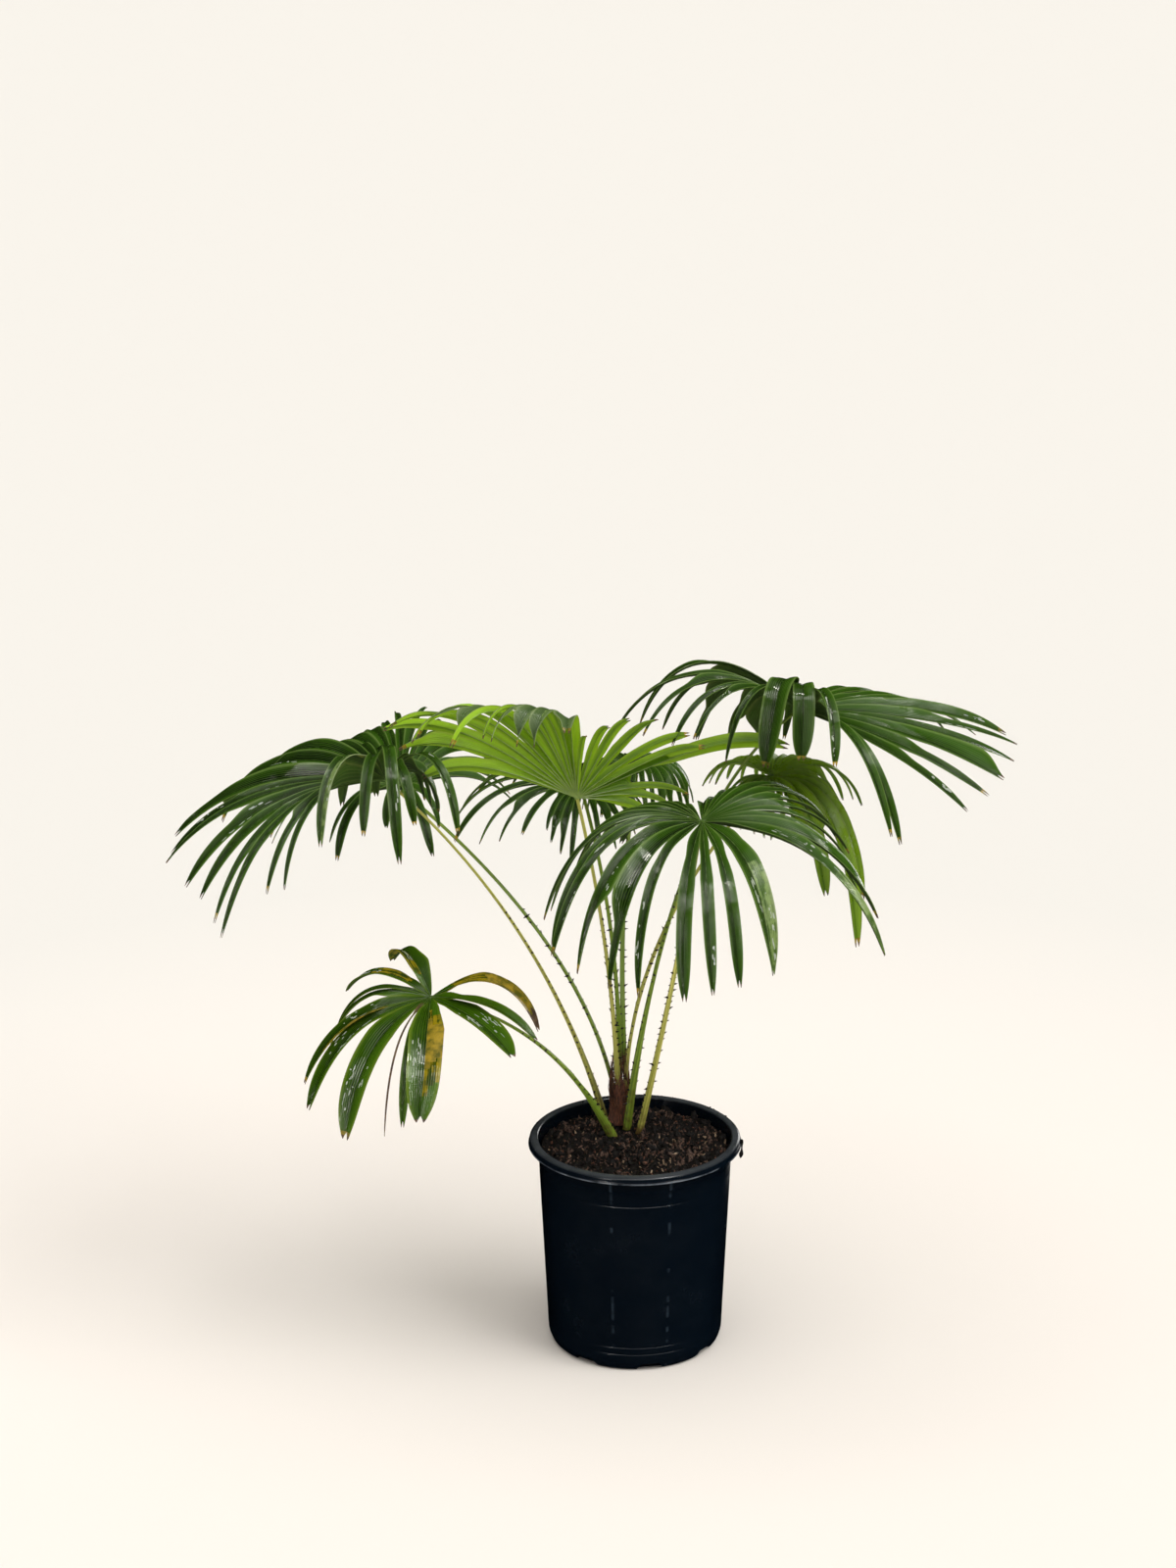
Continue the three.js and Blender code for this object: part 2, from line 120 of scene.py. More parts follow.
def new_surface(name, roughness=0.5, **sockets):
    """A material with one Principled shader. The named sockets are set on the shader itself."""
    material = bpy.data.materials.new(name)
    material.use_nodes = True
    tree = material.node_tree
    shader = tree.nodes["Principled BSDF"]
    shader.inputs["Roughness"].default_value = roughness
    for socket, value in sockets.items():
        shader.inputs[socket.replace("_", " ")].default_value = value
    return material, tree, shader


def mix_colour(tree, factor, first, second):
    """Mixes two colours, each another node's output or a plain (red, green, blue)."""
    made = node(tree, "ShaderNodeMix", data_type="RGBA")
    for socket, value in zip([made.inputs[0], made.inputs[6], made.inputs[7]], [factor, first, second]):
        put(tree, socket, (*value, 1) if isinstance(value, tuple) else value)
    return made.outputs[2]


def noise(tree, vector, scale, detail=3.0, roughness=0.55):
    inputs = {"Vector": vector, "Scale": scale, "Detail": detail, "Roughness": roughness}
    return node(tree, "ShaderNodeTexNoise", inputs).outputs["Fac"]


def between(tree, value, low, high, to_low, to_high):
    inputs = {0: value, 1: low, 2: high, 3: to_low, 4: to_high}
    return node(tree, "ShaderNodeMapRange", inputs).outputs[0]


def off_axis(tree, coords):
    """How far a place lies from the pot's axis."""
    level = vector_node(tree, "MULTIPLY", coords, (1, 1, 0))
    return node(tree, "ShaderNodeVectorMath", {0: level}, operation="LENGTH").outputs["Value"]


def bump(tree, shader, height, distance, strength=1.0):
    made = node(tree, "ShaderNodeBump", {"Strength": strength, "Distance": distance, "Height": height})
    put(tree, shader.inputs["Normal"], made.outputs[0])


print("helpers ready")

# %% [markdown]
# ## Pieces
# Every piece is a mesh whose object sits at the origin, unturned and unscaled. Modifiers are turned into the
# mesh itself before the piece joins the frame.

# %% Helpers for meshes
def new_object(name, points, faces=(), edges=()):
    mesh = bpy.data.meshes.new(name)
    mesh.from_pydata([tuple(p) for p in points], [tuple(e) for e in edges], [tuple(f) for f in faces])
    made = bpy.data.objects.new(name, mesh)
    bpy.context.scene.collection.objects.link(made)
    return made


def baked(made):
    """Turns the object's modifiers into its mesh, and removes them."""
    depsgraph = bpy.context.evaluated_depsgraph_get()
    mesh = bpy.data.meshes.new_from_object(
        made.evaluated_get(depsgraph), preserve_all_data_layers=True, depsgraph=depsgraph
    )
    made.modifiers.clear()
    old, made.data = made.data, mesh
    name = old.name
    bpy.data.meshes.remove(old)
    mesh.name = name
    return made


def smooth(made, sharp_degrees):
    made.data.shade_smooth()
    made.data.set_sharp_from_angle(angle=math.radians(sharp_degrees))


def join_frame(made, slot, *nodes):
    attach(made, "root")
    if nodes:
        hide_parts(*nodes)
    made.data.calc_loop_triangles()
    print(made.name, len(made.data.loop_triangles), "triangles")


def loft(rings, first_cap=True, last_cap=True):
    """Points and faces of a tube through rings of equally many points, closed by a flat face at both ends."""
    sides = len(rings[0])
    points = [p for ring in rings for p in ring]
    faces = []
    for j in range(len(rings) - 1):
        for k in range(sides):
            a, b = j * sides + k, j * sides + (k + 1) % sides
            faces.append((a, b, b + sides, a + sides))
    if first_cap:
        faces.append(tuple(reversed(range(sides))))
    if last_cap:
        faces.append(tuple(range(len(points) - sides, len(points))))
    return points, faces


def circle(sides):
    """Evenly spaced turns round a circle, in radians."""
    return [2 * math.pi * k / sides for k in range(sides)]


def add_loft(points, faces, rings):
    """Adds a closed tube to the points and faces of a larger mesh."""
    more_points, more_faces = loft(rings)
    faces += [[v + len(points) for v in face] for face in more_faces]
    points += more_points


def chain(start, stop):
    """Edges that join the points of one path, each to the next."""
    return [(k, k + 1) for k in range(start, stop - 1)]


def radius_paths(name, points, edges, radii):
    """Paths to be swept, with the radius at each point kept in an attribute."""
    made = new_object(name, points, edges=edges)
    made.data.attributes.new("radius_here", "FLOAT", "POINT").data.foreach_set("value", radii)
    return made


def outward(made):
    """Turns all faces of a closed mesh outwards."""
    work = bmesh.new()
    work.from_mesh(made.data)
    bmesh.ops.remove_doubles(work, verts=work.verts, dist=1e-6)
    bmesh.ops.recalc_face_normals(work, faces=work.faces)
    work.to_mesh(made.data)
    work.free()


print("mesh helpers ready")

# %% [markdown]
# ## The pot
# A nursery pot is blow-moulded in thin black plastic: a tapered wall, a collar step under the rim, a rolled
# rim, a rounded heel with drain notches. It is a profile turned round the axis, so the profile is written
# once, its corners are rounded by a formula, and the notches are cut by a Boolean.

# %% Sizes of the pot
POT_HEIGHT = 256 * MM
RIM_RADIUS = 125 * MM
RIM_BAND = 10 * MM
MOUTH_RADIUS = 114 * MM
RIM_LIP = 0.6 * MM
COLLAR_DEPTH = 25 * MM
COLLAR_STEP = 2.7 * MM
HEEL_RADIUS = 103.5 * MM
HEEL_HEIGHT = 12 * MM
HEEL_BULGE = 4 * MM
FOOT_RADIUS = 97 * MM
WALL = 2.2 * MM
FLOOR = 3 * MM
POT_SIDES = 160
RING_HEIGHTS = [22 * MM, 31 * MM, 214 * MM]
RING_DEPTH = 0.5 * MM
CORNER_POINTS = 5
DRAIN_COUNT = 8
DRAIN_FIRST_DEG = -80
DRAIN_WIDTH, DRAIN_TOP_WIDTH = 33 * MM, 22 * MM
DRAIN_HEIGHT, DRAIN_DEPTH = 9 * MM, 16 * MM


def rounded(corners):
    """A profile of (radius, height, rounding) corners as points, each corner replaced by a short curve."""
    points = []
    for k, (r, z, size) in enumerate(corners):
        here = Vector((r, z))
        if size == 0:
            points.append(here)
            continue
        before = Vector(corners[k - 1][:2]) - here
        after = Vector(corners[(k + 1) % len(corners)][:2]) - here
        start = here + before.normalized() * min(size, before.length / 2)
        end = here + after.normalized() * min(size, after.length / 2)
        for t in np.linspace(0, 1, CORNER_POINTS):
            points.append(start * (1 - t) ** 2 + here * 2 * t * (1 - t) + end * t**2)
    return points


def turned(name, profile, sides):
    """A closed solid: a profile that starts and ends on the axis, turned round it."""
    rings = []
    for point in profile[1:-1]:
        rings.append([(point[0] * math.cos(a), point[0] * math.sin(a), point[1]) for a in circle(sides)])
    points, faces = loft(rings, first_cap=False, last_cap=False)
    first, last = len(points), len(points) + 1
    points += [(0, 0, profile[0][1]), (0, 0, profile[-1][1])]
    base = (len(rings) - 1) * sides
    for k in range(sides):
        faces.append(((k + 1) % sides, k, first))
        faces.append((base + k, base + (k + 1) % sides, last))
    made = new_object(name, points, faces)
    outward(made)
    return made


print("pot:", round(2 * RIM_RADIUS / MM), "mm across its rim,", round(POT_HEIGHT / MM), "mm high")

# %% [markdown]
# The profile goes round the section once: up the outside from the foot to the rim, over the rim, and down the
# inside to the floor. Three ring grooves are set into the wall. The drain notches are one cutter mesh of
# eight tapered blocks, because one Boolean is quicker and steadier than eight.

# %% Turn the pot and cut its drain notches
collar = MOUTH_RADIUS + WALL
collar_foot = POT_HEIGHT - COLLAR_DEPTH
rim_foot = POT_HEIGHT - RIM_BAND


def wall_radius(z):
    widening = collar - COLLAR_STEP - HEEL_RADIUS
    return HEEL_RADIUS + widening * (z - HEEL_HEIGHT) / (collar_foot - HEEL_HEIGHT)


profile = [(0, 0, 0), (FOOT_RADIUS, 0, 2 * MM), (FOOT_RADIUS + HEEL_BULGE, HEEL_HEIGHT / 3, 2 * MM)]
profile.append((HEEL_RADIUS, HEEL_HEIGHT, 3 * MM))
for z in RING_HEIGHTS:
    for shift, depth in [(-1.2, 0), (-0.5, 1), (0.5, 1), (1.2, 0)]:
        profile.append((wall_radius(z) - depth * RING_DEPTH, z + shift * MM, 0.3 * MM))
profile += [
    (collar - COLLAR_STEP, collar_foot, 1 * MM),
    (collar, collar_foot + 3 * MM, 1.5 * MM),
    (collar, rim_foot, 0.8 * MM),
    (RIM_RADIUS - 1 * MM, rim_foot, 0.8 * MM),
    (RIM_RADIUS + RIM_LIP, rim_foot + 1 * MM, 0.7 * MM),
    (RIM_RADIUS + RIM_LIP, rim_foot + 2 * MM, 1 * MM),
    (RIM_RADIUS - RIM_LIP, rim_foot + 4 * MM, 2 * MM),
    (RIM_RADIUS - RIM_LIP, POT_HEIGHT - 2.5 * MM, 2 * MM),
    (RIM_RADIUS - 3.4 * MM, POT_HEIGHT, 2 * MM),
    (MOUTH_RADIUS + 1.5 * MM, POT_HEIGHT, 1 * MM),
    (MOUTH_RADIUS, POT_HEIGHT - 1.5 * MM, 0.7 * MM),
    (MOUTH_RADIUS - COLLAR_STEP, collar_foot, 2 * MM),
    (HEEL_RADIUS - WALL, HEEL_HEIGHT, 2 * MM),
    (FOOT_RADIUS - WALL, FLOOR, 2 * MM),
    (0, FLOOR, 0),
]
pot = turned("pot_shell", rounded(profile), POT_SIDES)

cutter_points, cutter_faces = [], []
for i in range(DRAIN_COUNT):
    turn = math.radians(DRAIN_FIRST_DEG + i * 360 / DRAIN_COUNT)
    out = Vector((math.cos(turn), math.sin(turn), 0))
    side = Vector((-math.sin(turn), math.cos(turn), 0))
    start = len(cutter_points)
    for reach in (HEEL_RADIUS + HEEL_BULGE - DRAIN_DEPTH, HEEL_RADIUS + HEEL_BULGE):
        for half, z in [(-DRAIN_WIDTH / 2, -1 * MM), (DRAIN_WIDTH / 2, -1 * MM),
                        (DRAIN_TOP_WIDTH / 2, DRAIN_HEIGHT), (-DRAIN_TOP_WIDTH / 2, DRAIN_HEIGHT)]:
            cutter_points.append(out * reach + side * half + Vector((0, 0, z)))
    for f in [(3, 2, 1, 0), (4, 5, 6, 7), (0, 1, 5, 4), (1, 2, 6, 5), (2, 3, 7, 6), (3, 0, 4, 7)]:
        cutter_faces.append([start + k for k in f])
cutter = new_object("cutter", cutter_points, cutter_faces)
outward(cutter)
cut = pot.modifiers.new("notches", "BOOLEAN")
cut.operation, cut.object, cut.solver = "DIFFERENCE", cutter, "EXACT"
baked(pot)
bpy.data.objects.remove(cutter)
smooth(pot, 35)
print("pot wall", round(WALL / MM, 1), "mm thick")

# %% [markdown]
# The plastic is almost black with a navy tinge. Its gloss is uneven: handling leaves faint scuffs and the
# mould leaves a very fine grain, so a noise drives the roughness and a finer one the bump. The rim's top is
# paler, partly dust and partly a painted sheen, the lip below it carries a painted highlight line, and two
# faint upright painted highlight streaks stand on the front. All three are found by place: by height, by
# distance from the axis and by the turn round it.

# %% Finish of the pot
POT_DEEP, POT_LIGHT = (0.0015, 0.0047, 0.0098), (0.0027, 0.0068, 0.0128)
# The rim's dust colour is partly a painted sheen; the upright mark colour and the rubbed lip colour are
# painted highlights.
DUST_AND_SHEEN, HIGHLIGHT_STREAK, RIM_HIGHLIGHT = (0.10, 0.11, 0.12), (0.020, 0.033, 0.048), (0.20, 0.23, 0.27)
HIGHLIGHT_STREAKS_DEG = (-104, -69)
STREAK_HALF_DEG = 1.3
pot_black, tree, shader = new_surface("pot_black", Specular_IOR_Level=0.35)
coords = object_coords(tree)
x, y, height = separate(tree, coords)
scuffs = noise(tree, coords, 24.0, 5.0, 0.6)
low = stretched(tree, coords, (2.0, 2.0, 30.0))
colour = mix_colour(tree, between(tree, scuffs, 0.45, 0.75, 0, 1), POT_DEEP, POT_LIGHT)
# The rim's top is painted paler: partly dust, partly a painted sheen.
dust_and_sheen = times(tree, between(tree, height, POT_HEIGHT - 3 * MM, POT_HEIGHT, 0, 1), scuffs)
colour = mix_colour(tree, dust_and_sheen, colour, DUST_AND_SHEEN)

# Two faint upright painted highlight streaks on the front, broken up by a noise.
turn = math_node(tree, "ARCTAN2", y, x)
streak_breaks = between(tree, noise(tree, low, 2.2, 2.0), 0.50, 0.62, 0, 1)
for degrees in HIGHLIGHT_STREAKS_DEG:
    off_streak = math_node(tree, "ABSOLUTE", math_node(tree, "SUBTRACT", turn, math.radians(degrees)))
    mark = times(tree, between(tree, off_streak, 0, math.radians(STREAK_HALF_DEG), 1, 0), streak_breaks)
    colour = mix_colour(tree, mark, colour, HIGHLIGHT_STREAK)

# A painted highlight line along the lip below the rim.
above = between(tree, height, rim_foot + 0.8 * MM, rim_foot + 1.4 * MM, 0, 1)
below = between(tree, height, rim_foot + 2 * MM, rim_foot + 3 * MM, 1, 0)
outside = math_node(tree, "GREATER_THAN", off_axis(tree, coords), RIM_RADIUS - 2 * MM)
lip = times(tree, times(tree, above, below), outside)
rim_highlight = times(tree, lip, between(tree, scuffs, 0.38, 0.62, 0, 1))
put(tree, shader.inputs["Base Color"], mix_colour(tree, rim_highlight, colour, RIM_HIGHLIGHT))
put(tree, shader.inputs["Roughness"], math_node(tree, "MULTIPLY_ADD", scuffs, 0.22, 0.13))
grain = math_node(tree, "ADD", noise(tree, coords, 900.0, 2.0), noise(tree, low, 5.0, 3.0))
bump(tree, shader, grain, 0.00012, 0.35)
pot.data.materials.append(pot_black)
join_frame(pot, "pot_plastic", "pot")
print("finish of the pot:", len(tree.nodes), "nodes")

# %% [markdown]
# ## The potting mix
# Moist bark and peat: a lumpy surface with thousands of crumbs and chips on it. The bed is a turned solid
# whose top is pushed up and down by a noise. The crumbs are scattered over it by Geometry Nodes.

# %% The bed of the mix
SOIL_EDGE = 243 * MM
SOIL_LEVEL = 249 * MM
SOIL_RADIUS = MOUTH_RADIUS - COLLAR_STEP - 1.2 * MM
SOIL_RINGS = 56
SOIL_SIDES = 220
LUMP_SHARE = 1.35
rng = np.random.default_rng(7)
waves = []
for slowest, fastest in [(30, 220), (350, 900)]:
    for _ in range(16):
        pace = rng.uniform(slowest, fastest)
        waves.append((pace, rng.uniform(0, 2 * math.pi), rng.uniform(0, 2 * math.pi)))


def soil_height(x, y):
    """The mix's surface: a low mound with lumps of several sizes, lower towards the wall."""
    r = math.hypot(x, y) / SOIL_RADIUS
    lumps = LUMP_SHARE * sum(
        math.sin(f * (x * math.cos(a) + y * math.sin(a)) + p) / (1 + min(f, 250) / 60) for f, a, p in waves
    )
    return SOIL_LEVEL - (SOIL_LEVEL - SOIL_EDGE) * min(1, r) ** 3 + 1.5 * MM * lumps - 2.5 * MM


points = [(0, 0, soil_height(0, 0))]
for ring in range(1, SOIL_RINGS + 1):
    r = SOIL_RADIUS * ring / SOIL_RINGS
    for a in circle(SOIL_SIDES):
        x, y = r * math.cos(a), r * math.sin(a)
        points.append((x, y, soil_height(x, y)))
faces = [(0, 1 + k, 1 + (k + 1) % SOIL_SIDES) for k in range(SOIL_SIDES)]
for ring in range(SOIL_RINGS - 1):
    for k in range(SOIL_SIDES):
        a, b = 1 + ring * SOIL_SIDES + k, 1 + ring * SOIL_SIDES + (k + 1) % SOIL_SIDES
        faces.append((a, a + SOIL_SIDES, b + SOIL_SIDES, b))
edge = 1 + (SOIL_RINGS - 1) * SOIL_SIDES
foot = len(points)
foot_radius = FOOT_RADIUS - WALL - 1.2 * MM
for k, a in enumerate(circle(SOIL_SIDES)):
    points.append((foot_radius * math.cos(a), foot_radius * math.sin(a), FLOOR + 0.3 * MM))
    b, c = (k + 1) % SOIL_SIDES, foot + (k + 1) % SOIL_SIDES
    faces.append((edge + k, foot + k, c, edge + b))
faces.append(tuple(reversed(range(foot, foot + SOIL_SIDES))))
soil = new_object("potting_mix_bed", points, faces)
outward(soil)
smooth(soil, 60)
print("bed of the mix:", len(points), "points")

# %% [markdown]
# All bits of the mix share one rule for their finish, and differ in their two colours only. A fine noise both
# mixes the colours and lifts the surface, so that the raised grains are paler and the low ones darker: grain
# tone, with painted shade in the hollows.

# %% Colours of the mix
def mix_finish(name, dark, light, roughness):
    material, tree, shader = new_surface(name, roughness=roughness, Specular_IOR_Level=0.25)
    grain = noise(tree, object_coords(tree), 420.0, 4.0, 0.7)
    # Low grains darker and raised ones paler: grain tone, with painted shade in the hollows.
    colour = mix_colour(tree, between(tree, grain, 0.42, 0.64, 0, 1), dark, light)
    put(tree, shader.inputs["Base Color"], colour)
    bump(tree, shader, grain, 0.0018, 0.9)
    return material


soil_dark = mix_finish("mix_dark", (0.002, 0.0013, 0.001), (0.014, 0.009, 0.007), 0.6)
soil_brown = mix_finish("mix_brown", (0.006, 0.003, 0.0025), (0.19, 0.112, 0.08), 0.55)
soil_red = mix_finish("mix_red_bark", (0.030, 0.011, 0.006), (0.22, 0.095, 0.055), 0.55)
soil_tan = mix_finish("mix_tan_chip", (0.20, 0.13, 0.08), (0.58, 0.42, 0.28), 0.55)
soil.data.materials.append(soil_dark)
print("colours of the mix:", soil_dark.name, soil_brown.name, soil_red.name, soil_tan.name)

# %% [markdown]
# One Geometry Nodes tree scatters bits over a surface. Each bit is a small icosphere of 20 faces, squeezed
# and knocked out of round by a noise, so that no two look alike. Named inputs give the density, the seed,
# the size and the material, and the tree ends in Realize Instances and Set Material.

# %% A tree that scatters bits
def new_tree(name, inputs):
    tree = bpy.data.node_groups.new(name, "GeometryNodeTree")
    tree.interface.new_socket("Geometry", in_out="INPUT", socket_type="NodeSocketGeometry")
    for label, kind, value in inputs:
        socket = tree.interface.new_socket(label, in_out="INPUT", socket_type="NodeSocket" + kind)
        if value is not None:
            socket.default_value = value
    tree.interface.new_socket("Geometry", in_out="OUTPUT", socket_type="NodeSocketGeometry")
    start = tree.nodes.new("NodeGroupInput").outputs
    return tree, start


def end_tree(tree, instances, material):
    real = node(tree, "GeometryNodeRealizeInstances", {0: instances})
    painted = node(tree, "GeometryNodeSetMaterial", {"Geometry": real.outputs[0], "Material": material})
    tree.links.new(painted.outputs[0], tree.nodes.new("NodeGroupOutput").inputs[0])


def grown(name, source, tree, **values):
    """The result of a Geometry Nodes tree on a source object, as a new object with a plain mesh."""
    made = bpy.data.objects.new(name, source.data.copy())
    bpy.context.scene.collection.objects.link(made)
    modifier = made.modifiers.new(tree.name, "NODES")
    modifier.node_group = tree
    for item in tree.interface.items_tree:
        if item.in_out == "INPUT" and item.name in values:
            modifier[item.identifier] = values[item.name]
    return baked(made)


def random_value(tree, kind, low, high, seed):
    made = node(tree, "FunctionNodeRandomValue", data_type=kind)
    first = 0 if kind == "FLOAT_VECTOR" else 2
    sockets = [made.inputs[first], made.inputs[first + 1], made.inputs["Seed"]]
    for socket, value in zip(sockets, [low, high, seed]):
        put(tree, socket, value)
    return made.outputs[first // 2]


def named(tree, name, kind):
    return node(tree, "GeometryNodeInputNamedAttribute", {"Name": name}, data_type=kind).outputs["Attribute"]


def set_on_points(tree, points, thing, turn, size):
    inputs = {"Points": points, "Instance": thing, "Rotation": turn, "Scale": size}
    return node(tree, "GeometryNodeInstanceOnPoints", inputs).outputs[0]


KNOCK_REACH, BIT_WIDTH = 3.4 * MM, 0.6
scatter, given = new_tree(
    "scatter bits",
    [("Density", "Float", 1000.0), ("Seed", "Int", 1), ("Smallest", "Float", 0.5), ("Largest", "Float", 1.0),
     ("Flatness", "Float", 0.5), ("Stretch", "Float", 1.0), ("Material", "Material", None)],
)
scattered = node(
    scatter, "GeometryNodeDistributePointsOnFaces",
    {"Mesh": given["Geometry"], "Density": given["Density"], "Seed": given["Seed"]},
    distribute_method="RANDOM",
)
bit = node(scatter, "GeometryNodeMeshIcoSphere", {"Radius": 1.0, "Subdivisions": 1})
turn = random_value(scatter, "FLOAT_VECTOR", (0, 0, 0), (6.28, 6.28, 6.28), given["Seed"])
size = random_value(scatter, "FLOAT", given["Smallest"], given["Largest"], given["Seed"])
shape = {0: given["Stretch"], 1: BIT_WIDTH, 2: given["Flatness"]}
squeeze = node(scatter, "ShaderNodeCombineXYZ", shape).outputs[0]
squeezed = node(scatter, "GeometryNodeTransform", {"Geometry": bit.outputs[0], "Scale": squeeze})
placed = set_on_points(scatter, scattered.outputs[0], squeezed.outputs[0], turn, size)
realized = node(scatter, "GeometryNodeRealizeInstances", {0: placed})
knock = node(scatter, "ShaderNodeTexNoise", {"Scale": 520.0, "Detail": 1.0}).outputs["Color"]
centred = vector_node(scatter, "SUBTRACT", knock, (0.5, 0.5, 0.5))
push = node(scatter, "ShaderNodeVectorMath", {0: centred, "Scale": KNOCK_REACH}, operation="SCALE").outputs[0]
moved = node(scatter, "GeometryNodeSetPosition", {"Geometry": realized.outputs[0], "Offset": push})
end_tree(scatter, moved.outputs[0], given["Material"])
print("tree:", scatter.name)

# %% [markdown]
# The mix is a blend of fine peat, brown crumbs, bark lumps, and bark, red and tan chips. Each kind is one run
# of the tree over the upper faces of the bed, with its own density, sizes and colour.

# %% Scatter the mix's crumbs and chips
surface_points = [v.co.copy() for v in soil.data.vertices]
top_faces = [p.vertices[:] for p in soil.data.polygons if p.normal.z > 0.3]
top = new_object("mix_top", surface_points, top_faces)
# name, bits on a square metre, seed, smallest and largest size in millimetres, flatness, stretch, material
CRUMBS = [
    ("mix_fine_crumbs", 42000.0, 3, 0.7, 2.2, 0.7, 1.1, soil_dark),
    ("mix_brown_crumbs", 11000.0, 5, 0.9, 3.0, 0.6, 1.2, soil_brown),
    ("mix_bark_lumps", 3600.0, 6, 3.2, 8.5, 0.55, 1.2, soil_dark),
    ("mix_bark_chips", 4200.0, 7, 2.0, 6.5, 0.35, 1.5, soil_brown),
    ("mix_red_chips", 5200.0, 8, 1.2, 3.2, 0.3, 1.5, soil_red),
    ("mix_tan_chips", 2200.0, 13, 1.0, 3.4, 0.3, 2.0, soil_tan),
]


def scattered_bits(name, source, density, seed, smallest, largest, flatness, stretch, material):
    return grown(
        name, source, scatter, Density=density, Seed=seed, Smallest=smallest * MM,
        Largest=largest * MM, Flatness=flatness, Stretch=stretch, Material=material,
    )


for name, *values in CRUMBS:
    join_frame(scattered_bits(name, top, *values), "potting_mix")
bpy.data.objects.remove(top)
join_frame(soil, "potting_mix", "potting_mix")
print(len(CRUMBS), "kinds of bits over", len(top_faces), "faces")
